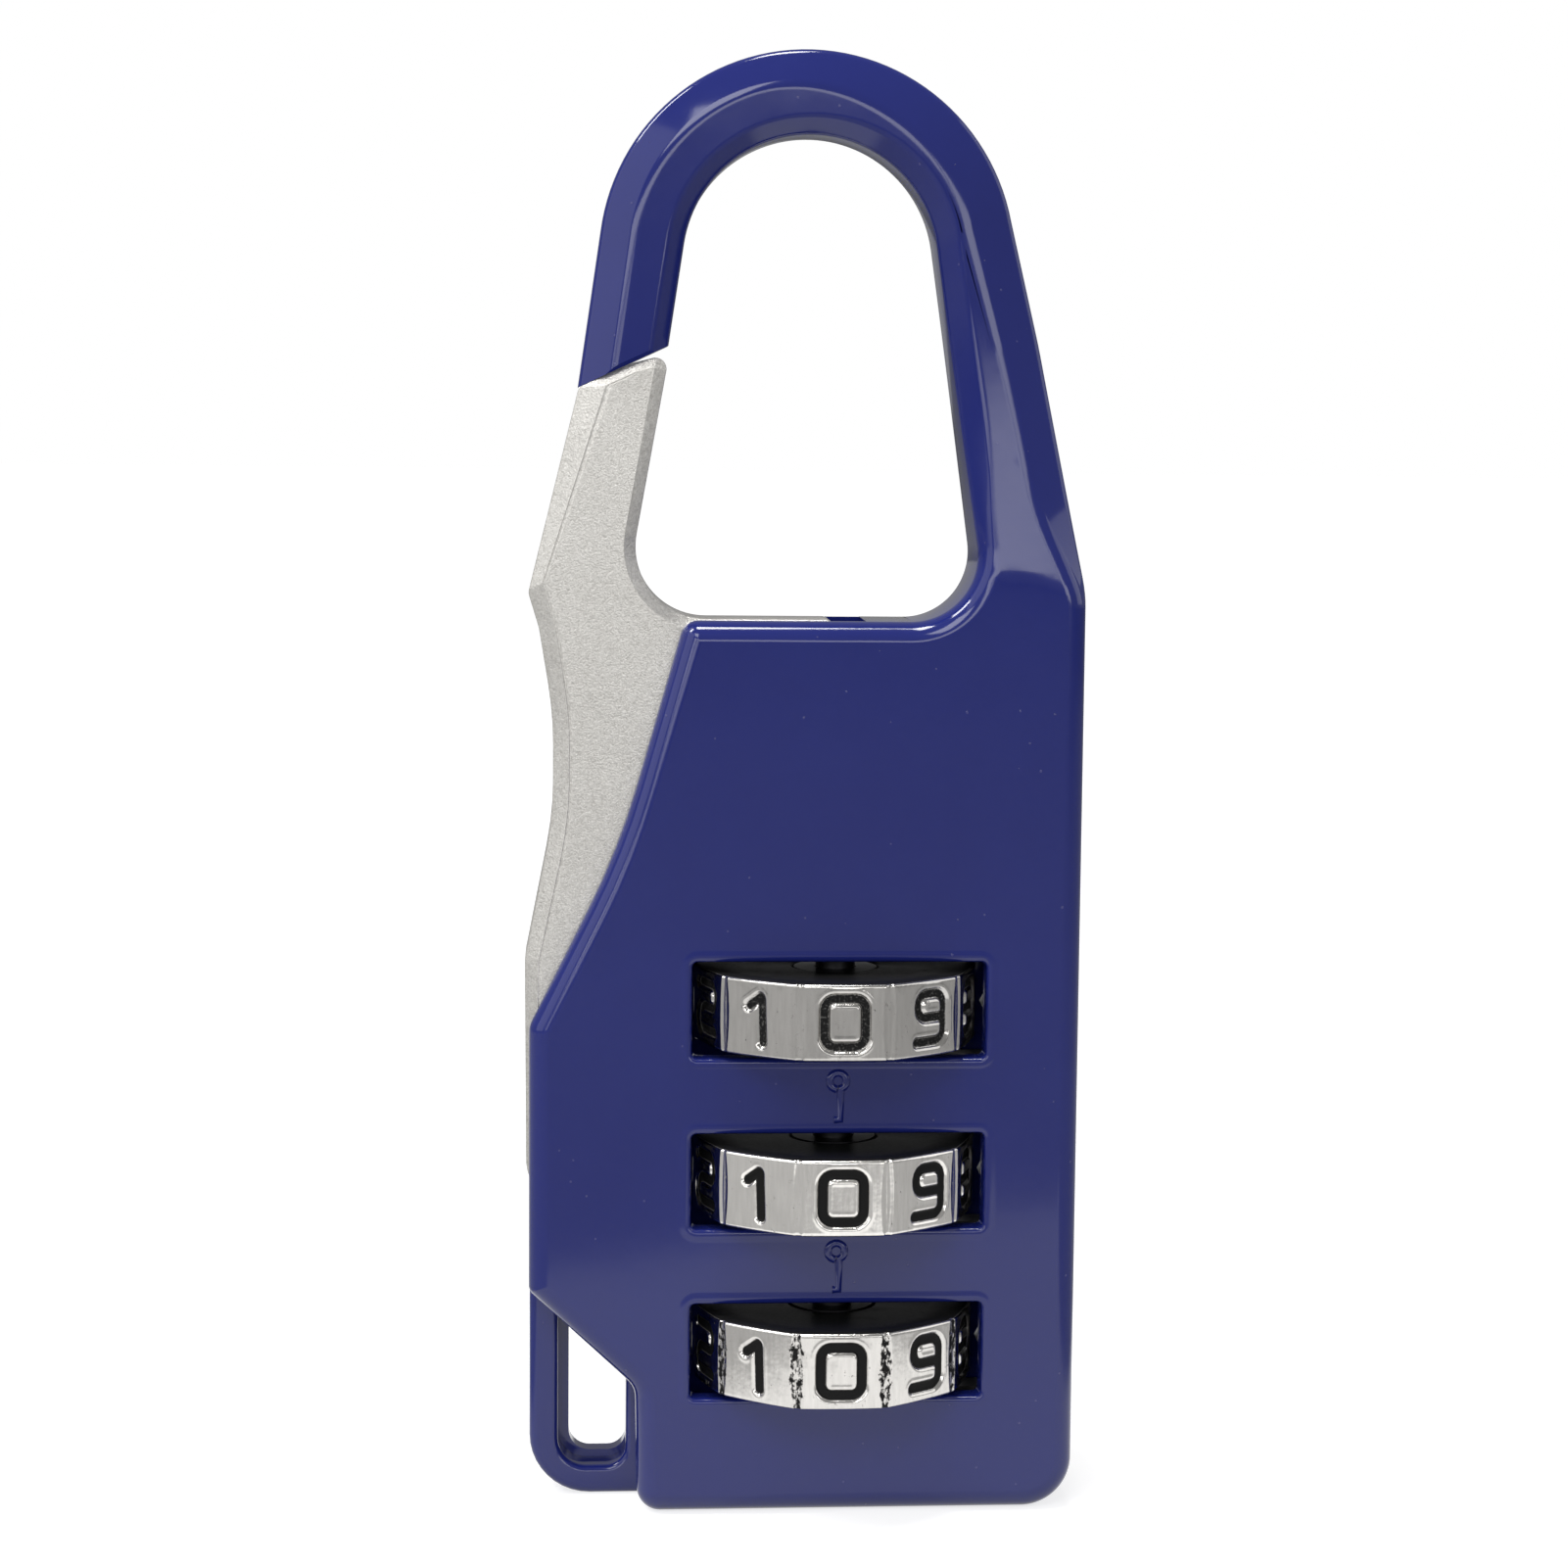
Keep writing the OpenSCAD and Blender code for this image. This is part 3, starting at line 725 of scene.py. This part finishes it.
def flared_hole(corners, y0, y1, radius):
    """Tool for a hole whose rim opens out in a rounded edge at the front."""
    counts = arc_counts(corners)
    edge = [(-inset, drop) for inset, drop in reversed(quarter_round(radius)[::2])]
    shell, rings = Shell(), []
    for inset, depth in [(-radius, -1.0)] + edge + [(0.0, y1 - y0)]:
        points, _ = traced(pulled_in(corners, [inset] * len(corners)), counts)
        rings.append(shell.ring([(x, y0 + depth, z) for x, z in points]))
    shell.skin(rings)
    shell.cap(rings[0])
    shell.cap(rings[-1])
    return shell.build("hole")


def strap_loop():
    """Bar round the strap hole, which is narrower behind a step."""
    piece = rounded_slab("strap_loop", LOOP_OUTER, LOOP_FRONT, LOOP_BACK, LOOP_ROUND)
    boolean(piece, flared_hole(LOOP_HOLE, LOOP_FRONT, LOOP_STEP_Y, HOLE_ROUND))
    boolean(piece, slab("step_hole", LOOP_STEP, -1, 5, 1))
    boolean(piece, slab("loop_trim", LOOP_TRIM, -5, 5))
    return piece


def casting_and_cover():
    """The one form, parted along a fine seam into the casting and its back cover."""
    form = lock_form("casting")
    cover = placed("rear_cover", form.data.copy())
    seam = 0.03
    boolean(cover, box_tool("cover_side", (-20, 20), (PLATE_BACK + seam, 6), (-1, BODY_TOP - seam)),
            "INTERSECT")
    boolean(form, box_tool("cover_room", (-20, 20), (PLATE_BACK, 6), (-1, BODY_TOP)))
    # The cavity, its ribs and the nib hole are near-black: painted shade
    boolean(form, slab("cavity", CAVITY_EDGE, -PLATE_BACK, PLATE_BACK + 2, 1))
    for x, y, z in RIBS:
        boolean(form, box_tool("rib", x, y, z, 1), "UNION")
    boolean(form, strap_loop(), "UNION")
    nib_r = NIB_R + CLEARANCE
    boolean(form, lathe("nib_hole", [(nib_r, -0.5), (nib_r, 1.6)], (*NIB, 0.0), slot=1))
    seat = [(RIVET_HEAD_R, BODY_HALF - RIVET_HEAD_T), (RIVET_HEAD_R, BODY_HALF - 0.1),
            (RIVET_HEAD_R + 0.2, BODY_HALF + 0.1), (RIVET_HEAD_R + 0.2, BODY_HALF + 1)]
    for x, z in RIVETS:
        boolean(cover, lathe("rivet_seat", seat, (x, 0.0, z), "Y"))
    finished(form, "case", [PAINT, SHADE_BLACK_INSIDE], ["body_casting"])
    finished(cover, "case", [PAINT, SHADE_BLACK_INSIDE], ["back_cover"])


# -------------------- gate lever
LEVER_SLOPE, TIP_SHARE = (1.0, 0.55, 0.16, 0.12), 0.36
# The crease along the inside of the bevel: how far past the bevel, and how deep
CREASE = ((0.05, 0.035), (0.12, 0.04), (0.20, 0.0), (0.26, 0.0))


def gate_lever():
    """Lever with a bevel of its own width along each edge."""
    steep = [TIP_SHARE if i < LEVER_TIP else 1.0 for i in range(len(LEVER_EDGE))]
    creased = [i == 0 or i >= LEVER_LEFT for i in range(len(LEVER_EDGE))]
    counts = arc_counts(LEVER_EDGE, 4.0)
    profile = [(inset, drop, 0.0) for inset, drop in soft_chamfer(*LEVER_SLOPE)]
    last = profile[-1][0]
    profile += [(last + past, 0.0, crease) for past, crease in CREASE]
    shell, ends = Shell(), []
    for way in (-1, 1):
        rings = []
        for inset, drop, crease in profile:
            pairs = [(inset * before, inset * after) for before, after in LEVER_BEVELS]
            points, owners = traced(pulled_in(LEVER_EDGE, pairs), counts)
            rings.append(shell.ring([
                (x, way * (LEVER_HALF - drop * steep[owner] - crease * creased[owner]), z)
                for (x, z), owner in zip(points, owners)]))
        shell.skin(rings)
        shell.cap(rings[-1])
        ends.append(rings[0])
    shell.wall(*ends)
    piece = shell.build("lever")
    bore_r = PIVOT_R + CLEARANCE
    boolean(piece, lathe("pivot_bore", [(bore_r, -4), (bore_r, 4)],
                         (PIVOT[0], 0.0, PIVOT[1]), "Y"))
    finished(piece, "gate", [SILVER], ["gate_lever"])


# -------------------- number dials
L, R, T, M, B = -1.17, 1.17, 1.3, 0.0, -1.3     # left, right, top, middle and bottom of a number
# Lines through the middle of each number's strokes, and whether they close on themselves
DIGITS = {
    0: [([(L, T), (R, T), (R, B), (L, B)], True)],
    1: [([(-0.82, 0.66), (0.0, 1.22), (0.1, B)], False)],
    2: [([(L, T), (R, T), (R, M), (L, M), (L, B), (R, B)], False)],
    3: [([(L, T), (R, T), (R, B), (L, B)], False), ([(-0.4, M), (R, M)], False)],
    4: [([(L, T), (L, -0.35), (R, -0.35)], False), ([(0.6, 0.9), (0.6, B)], False)],
    5: [([(R, T), (L, T)], False), ([(L, T), (L, M)], False),
        ([(L, M), (R, M), (R, B), (L, B)], False)],
    6: [([(R, T), (L, T), (L, B), (R, B), (R, M), (L, M)], False)],
    7: [([(L, T), (R, T), (0.0, B)], False)],
    8: [([(L, T), (R, T), (R, B), (L, B)], True), ([(L, M), (R, M)], False)],
    9: [([(1.4, M), (-0.5, M), (-0.5, T), (1.4, T), (1.4, B), (-0.6, B)], False)],
}
STROKE = 0.30                       # half the width of a number's stroke
FACE_HOLLOW = 0.26                  # how far a face's middle lies inside the dial's radius
SCOOP_WIDE, SCOOP_DEEP = (0.20, 0.16), 0.12
NUMBER_DEEP, BEAD_HIGH, BEAD_HALF = 0.20, 0.02, 0.13


def stroke_points(line, closed, radius=0.58, crisp=0.08, sharpest=95):
    """The line with its bends rounded, and its sharpest ones left crisp."""
    n, points = len(line), []
    for i in range(n):
        if closed or 0 < i < n - 1:
            before, after = line[i - 1], line[(i + 1) % n]
            sharp = abs(corner_turn(before, line[i], after)) > sharpest
            points += round_corner(before, line[i], after, crisp if sharp else radius, 6)
        else:
            points.append(line[i])
    if closed:
        points.append(points[0])
    return points


def stroke_distance(digit, s, z):
    """Distance from each (s, z) to the middle of the digit's strokes."""
    best = np.full(s.shape, 9.0)
    for line, closed in DIGITS[digit]:
        points = stroke_points(line, closed)
        for (ax, az), (bx, bz) in zip(points, points[1:]):
            ux, uz = bx - ax, bz - az
            t = np.clip(((s - ax) * ux + (z - az) * uz) / (ux * ux + uz * uz), 0, 1)
            best = np.minimum(best, np.hypot(s - ax - t * ux, z - az - t * uz))
    return best


def soft_step(low, high, values):
    """0 below low, 1 above high, smooth between, for an array."""
    t = np.clip((values - low) / (high - low), 0, 1)
    return t * t * (3 - 2 * t)


def number_dial(name, node, centre_z, band, digit_ink, groove_painted_shade):
    """Dial whose numbers, scooped grooves and rounded rims are all in its radius grid."""
    columns, rows = 900, 52
    half, rim_r, shade_rim = DIAL_H / 2, 0.18, 0.07
    angles = -math.pi / 2 + 2 * math.pi * np.arange(columns) / columns
    heights = np.linspace(half, -half, rows)
    facet = 2 * math.pi / FACETS
    index = np.rint((angles + math.pi / 2) / facet).astype(int)
    across = (angles + math.pi / 2 - index * facet) * DIAL_R
    # s is the distance along the band from the middle of a face, z the height
    s, z = np.meshgrid(across, heights)
    edge = facet * DIAL_R / 2
    radius = DIAL_R - FACE_HOLLOW * (1 - (s / edge) ** 2)
    # Scoops between the faces, widest at half height
    scoop = (edge - np.abs(s)) / (SCOOP_WIDE[0] + SCOOP_WIDE[1] * (1 - (z / half) ** 2))
    radius -= SCOOP_DEEP * (1 - np.clip(scoop, 0, 1) ** 2)
    # Painted shade in the scoops: a value below 0 that spots them black
    ink = -groove_painted_shade * (1 - soft_step(0.6, 1.5, scoop))
    # Numbers sunk in the faces, with a low bead round each
    for k in range(FACETS):
        here = (index % FACETS) == k
        away = stroke_distance((FACETS - k) % FACETS, s[:, here], z[:, here])
        radius[:, here] -= NUMBER_DEEP * (1 - soft_step(STROKE - 0.12, STROKE + 0.08, away))
        bead = np.clip(1 - np.abs(away - STROKE - 0.17) / BEAD_HALF, 0, 1)
        radius[:, here] += BEAD_HIGH * bead ** 2 * (3 - 2 * bead)
        coat = 1 - soft_step(STROKE - 0.10, STROKE + 0.05, away)
        ink[:, here] = np.where(coat > 0, digit_ink * coat, ink[:, here])
    # Painted shade: a thin black strip along the band's top edge
    ink[z > half - shade_rim] = 1.0
    rim = np.clip(np.abs(z) - (half - rim_r), 0, rim_r)
    radius -= rim_r - np.sqrt(np.maximum(rim_r ** 2 - rim ** 2, 0))
    shell, rings = Shell(), []

    def full_ring(radii, height):
        rings.append(shell.ring([(DIAL_X + r * math.cos(a), r * math.sin(a), centre_z + height)
                                 for r, a in zip(radii, angles)]))

    # The bore's rim, a shallow recess round it and the flat end face
    steps = ((SLEEVE_R + 0.15, half - 0.25), (SLEEVE_R + 0.25, half - 0.15), (5.4, half - 0.15),
             (5.6, half), (6.8, half))
    for r, height in steps:
        full_ring([r] * columns, height)
    for row in range(rows):
        full_ring(radius[row], heights[row])
    for r, height in reversed(steps):
        full_ring([r] * columns, -height)
    shell.skin(rings + rings[:1])
    piece = shell.build(name)
    ink_and_shade_values = piece.data.attributes.new("ink", "FLOAT", "POINT")
    # The bore's rim, the recess and the end faces are black all over: painted shade
    black = np.ones(len(steps) * columns)
    ink_and_shade_values.data.foreach_set("value", np.concatenate([black, ink.ravel(), black]))
    finished(piece, node, [band], [node], angle=50.0)


# -------------------- what repeats or follows a path
def grow_tree(name, inputs, material, *kinds):
    """Geometry tree through nodes of these kinds, realized and in one material at its end."""
    tree = bpy.data.node_groups.new(name, "GeometryNodeTree")
    tree.interface.new_socket("Geometry", in_out="INPUT", socket_type="NodeSocketGeometry")
    for label, kind in inputs:
        tree.interface.new_socket(label, in_out="INPUT", socket_type=kind)
    tree.interface.new_socket("Geometry", in_out="OUTPUT", socket_type="NodeSocketGeometry")
    row = [tree.nodes.new(kind) for kind in (
        "NodeGroupInput", *kinds, "GeometryNodeRealizeInstances", "GeometryNodeSetMaterial",
        "NodeGroupOutput")]
    row[-2].inputs["Material"].default_value = material
    for node, after in zip(row, row[1:]):
        tree.links.new(node.outputs[0], after.inputs[0])
    return tree, row


def grown(name, tree, mesh, values):
    """Runs a geometry tree on a mesh and keeps the result as a plain mesh piece."""
    piece = placed(name, mesh)
    modifier = piece.modifiers.new("grow", "NODES")
    modifier.node_group = tree
    for item in tree.interface.items_tree:
        if item.in_out == "INPUT" and item.name in values:
            modifier[item.identifier] = values[item.name]
    baked(piece)
    return piece


def path_mesh(name, lines):
    """Loose edges along lines of (x, y, z) millimetres."""
    points, edges = [], []
    for line in lines:
        start = len(points)
        points += [(x * MM, y * MM, z * MM) for x, y, z in line]
        edges += [(start + i, start + i + 1) for i in range(len(line) - 1)]
    mesh = bpy.data.meshes.new(name)
    mesh.from_pydata(points, edges, [])
    return mesh


def wire_tree(material):
    """Round wire along the mesh's edges."""
    tree, row = grow_tree(
        "round_wire", (("Wire radius", "NodeSocketFloat"), ("Sides", "NodeSocketInt")), material,
        "GeometryNodeMeshToCurve", "GeometryNodeCurveToMesh")
    start, _, sweep = row[:3]
    sweep.inputs["Fill Caps"].default_value = True
    circle = tree.nodes.new("GeometryNodeCurvePrimitiveCircle")
    tree.links.new(start.outputs["Wire radius"], circle.inputs["Radius"])
    tree.links.new(start.outputs["Sides"], circle.inputs["Resolution"])
    tree.links.new(circle.outputs["Curve"], sweep.inputs["Profile Curve"])
    return tree


def helix(centre, low, high, radius, turns, per_turn=28):
    """Compression spring's centre line, with one closed turn at each end."""
    line = []
    count = int((turns + 2) * per_turn)
    for i in range(count + 1):
        turn = (turns + 2) * i / count
        rise = max(0.0, min(1.0, (turn - 0.85) / (turns + 0.3)))
        a = 2 * math.pi * turn
        line.append((centre[0] + radius * math.cos(a), centre[1] + radius * math.sin(a),
                     low + COIL_WIRE + (high - low - 2 * COIL_WIRE) * rise))
    return line


def springs():
    """Both coil springs, each wound to fill its part's box; the joint, fixed end (0 low or 1 high)
    and travel listed for each are not used.
    """
    tree = wire_tree(STEEL)
    for name, node, radius, turns, joint, fixed, travel in (
            ("spindle_coil", "spindle_spring", 1.7, 4, "spindle_press", 0, 2.5),
            ("reset_coil", "reset_spring", 0.7, 3, "reset_push", 1, 1.0)):
        low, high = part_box(node)
        z0, z1 = low[2] / MM, high[2] / MM
        centre = ((low[0] + high[0]) / 2 / MM, (low[1] + high[1]) / 2 / MM)
        mesh = path_mesh(name, [helix(centre, z0, z1, radius, turns)])
        piece = grown(name, tree, mesh, {"Wire radius": COIL_WIRE * MM, "Sides": 10})
        finished(piece, "case", [STEEL], [node], angle=60.0)
        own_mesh(piece)


def index_marks():
    """Low raised pointers between the windows: an open ring on a hooked stem."""
    tree = wire_tree(PAINT)
    ring_r, wire, y = 0.46, 0.26, -BODY_HALF + 0.13
    for name, z in (("pointer_upper", 23.45), ("pointer_lower", 13.95)):
        ring = [(DIAL_X - 0.05 + ring_r * math.cos(a), y, z + 0.85 + ring_r * math.sin(a))
                for a in (math.radians(-80 + 18 * i) for i in range(20))]
        stem = [(DIAL_X + 0.1, y, z + 0.42), (DIAL_X + 0.1, y, z - 1.3),
                (DIAL_X - 0.25, y, z - 1.3)]
        sizes = {"Wire radius": wire * MM, "Sides": 16}
        piece = grown(name, tree, path_mesh(name, [ring, stem]), sizes)
        finished(piece, "case", [PAINT], angle=60.0)


def rivets():
    """The back cover's flush rivets, one turned shape set at each place."""
    one = lathe("one_rivet", [
        (0.02, -RIVET_DEEP), (RIVET_R, -RIVET_DEEP), (RIVET_R, 0.72), (RIVET_HEAD_R - 0.1, 0.72),
        (RIVET_HEAD_R - 0.06, 0.78), (RIVET_HEAD_R - 0.06, 1.02), (RIVET_HEAD_R - 0.16, 1.12),
        (0.75, 1.16), (0.62, 1.12), (0.5, 1.16), (0.02, 1.17)], (0.0, 0.0, 0.0), "Y", 40)
    tree, row = grow_tree("set_rivets", (("Rivet", "NodeSocketObject"),), STEEL,
                          "GeometryNodeMeshToPoints", "GeometryNodeInstanceOnPoints")
    start, _, copies = row[:3]
    shape = tree.nodes.new("GeometryNodeObjectInfo")
    tree.links.new(start.outputs["Rivet"], shape.inputs["Object"])
    tree.links.new(shape.outputs["Geometry"], copies.inputs["Instance"])
    mesh = bpy.data.meshes.new("rivet_places")
    mesh.from_pydata([(x * MM, PLATE_BACK * MM, z * MM) for x, z in RIVETS], [], [])
    piece = grown("rivets", tree, mesh, {"Rivet": one})
    bpy.data.objects.remove(one)
    finished(piece, "case", [STEEL], ["cover_rivets"])


def inner_parts():
    """Better finishes for the mechanism that keeps its own solids."""
    # The spindle and the clutch sleeves are near-black: painted shade
    finishes = {"gate_pivot_pin": STEEL, "spindle": SHADE_BLACK_STEEL, "spindle_bush": BRASS,
                "spring_washer": STEEL, "detent_strip": STEEL, "reset_slide": PLASTIC}
    for level in LEVELS:
        finishes["clutch_sleeve_" + level] = SHADE_BLACK_STEEL
        finishes["detent_finger_" + level] = STEEL
    for node, material in finishes.items():
        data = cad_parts[node].data
        data.materials.clear()
        data.materials.append(material)


# -------------------- studio
def floor():
    """Pale floor that glows white to the camera, more so far behind the lock, and round the lock a
    painted pool of light that only reflections see.
    """
    mesh = bpy.data.meshes.new("floor")
    reach, below, near_glow, far_glow = 4.0, -0.00002, 0.74, 0.16
    mesh.from_pydata([(x, y, below) for x, y in ((-reach, -reach), (reach, -reach),
                                                 (reach, reach), (-reach, reach))],
                     [], [(0, 1, 2, 3)])
    ground = placed("floor", mesh)
    f = Finish("pale_floor")
    rays = f.node("ShaderNodeLightPath")
    seen = {name: Wire(f, rays.socket.node.outputs[name])
            for name in ("Is Camera Ray", "Is Glossy Ray", "Is Transmission Ray")}
    # A painted pool of light, which only reflections see, glows round the lock and ends a little in
    # front of it
    spot = f.node("ShaderNodeSeparateXYZ", None, {0: f.place()})
    x, y = (Wire(f, spot.socket.node.outputs[axis]) for axis in ("X", "Y"))
    painted_pool = (y + 0.5 * x).above(-72.0, -62.0) * (1.0 - y.above(20.0, 50.0))
    painted_pool = painted_pool * x.above(-36.0, -24.0) * (1.0 - x.above(34.0, 46.0))
    far = y.above(120.0, 500.0)
    shown = seen["Is Camera Ray"] + seen["Is Transmission Ray"] + seen["Is Glossy Ray"] * painted_pool
    matt = f.node("ShaderNodeBsdfDiffuse", None, {"Color": (0.42, 0.42, 0.42)})
    glow = f.node("ShaderNodeEmission", None, {
        "Color": (1.0, 1.0, 1.0), "Strength": shown * (far * far_glow + near_glow)})
    f.ends_in(f.node("ShaderNodeAddShader", None, {0: matt, 1: glow}))
    mesh.materials.append(f.material)


def lamp(name, place, target, size, power):
    """Rectangular lamp that faces its target."""
    light = bpy.data.lights.new(name, "AREA")
    light.shape = "RECTANGLE"
    light.size, light.size_y = size
    light.energy = power
    placed(name, light).matrix_world = aimed(Vector(place), Vector(target))


def aimed(place, target, roll=0.0):
    """Matrix of a lamp or camera that looks from its place at the target."""
    back = (place - target).normalized()
    right = Vector((0, 0, 1)).cross(back).normalized()
    up = back.cross(right)
    c, s = math.cos(roll), math.sin(roll)
    right, up = right * c + up * s, up * c - right * s
    turn = Matrix((right, up, back)).transposed().to_4x4()
    return Matrix.Translation(place) @ turn


ROOM_LIGHT, ROOM_SEEN = 0.34, 1.0   # the room's strength on the lock, and to the camera
LOCK_MIDDLE = (0.0, 0.0, 0.045)
# Name, place, target, size and power; the low ones are long softboxes out in front
LAMPS = (
    ("low_front", (-0.36, -1.2, 0.30), (-0.36, 0.0, 0.30), (1.32, 0.18), 2.6),
    ("low_left", (-0.50, -1.1, 0.12), (-0.50, 0.0, 0.12), (0.55, 0.10), 0.4),
    ("low_right", (0.58, -1.2, 0.20), (0.58, 0.0, 0.20), (0.50, 0.30), 1.5),
    ("left", (-0.70, -0.30, 0.35), LOCK_MIDDLE, (0.60, 0.60), 1.1),
    ("right", (0.74, 0.0, 0.36), LOCK_MIDDLE, (0.50, 0.60), 1.0),
    ("overhead", (-0.03, -0.06, 0.60), LOCK_MIDDLE, (0.14, 0.14), 1.5),
    ("upper_left", (-0.36, -0.05, 0.48), LOCK_MIDDLE, (0.10, 0.20), 1.3),
    ("fill", (-0.25, -0.62, 0.58), LOCK_MIDDLE, (0.40, 0.30), 2.0))


def studio():
    """Plain white room and the lamps."""
    world = bpy.data.worlds.new("soft_room")
    bpy.context.scene.world = world
    world.use_nodes = True
    tree = world.node_tree
    sky = tree.nodes["Background"]
    rays = tree.nodes.new("ShaderNodeLightPath")
    level = tree.nodes.new("ShaderNodeMapRange")
    level.inputs["To Min"].default_value = ROOM_LIGHT
    level.inputs["To Max"].default_value = ROOM_SEEN
    tree.links.new(rays.outputs["Is Camera Ray"], level.inputs["Value"])
    tree.links.new(level.outputs["Result"], sky.inputs["Strength"])
    sky.inputs["Color"].default_value = (1.0, 1.0, 1.0, 1.0)
    for row in LAMPS:
        lamp(*row)


def camera():
    """Camera close in front of the lock, a little above it and to its left."""
    data = bpy.data.cameras.new("camera")
    data.lens, data.sensor_width = 78.8, 36.0
    data.shift_x = -0.0334
    data.clip_start, data.clip_end = 0.01, 20.0
    azimuth, elevation, roll = (math.radians(a) for a in (-4.43, 6.01, 0.615))
    target, reach = Vector((0.001764, 0.0, 0.04026)), 0.18964
    away = Vector((math.sin(azimuth) * math.cos(elevation),
                   -math.cos(azimuth) * math.cos(elevation), math.sin(elevation)))
    holder = placed("camera", data)
    holder.matrix_world = aimed(target + reach * away, target, roll)
    bpy.context.scene.camera = holder


bpy.context.scene.view_settings.view_transform = "Standard"
camera()
floor()
studio()
casting_and_cover()
gate_lever()
for i, level in enumerate(LEVELS):
    band = bright_nickel("nickel_" + level, DIAL_WEAR[i], DIAL_PAINTED_LIGHT[i])
    number_dial("number_dial_" + level, "dial_" + level, DIAL_Z[i] - DIAL_DROP[i], band,
                DIGIT_INK[i], GROOVE_PAINTED_SHADE[i])
springs()
index_marks()
rivets()
inner_parts()
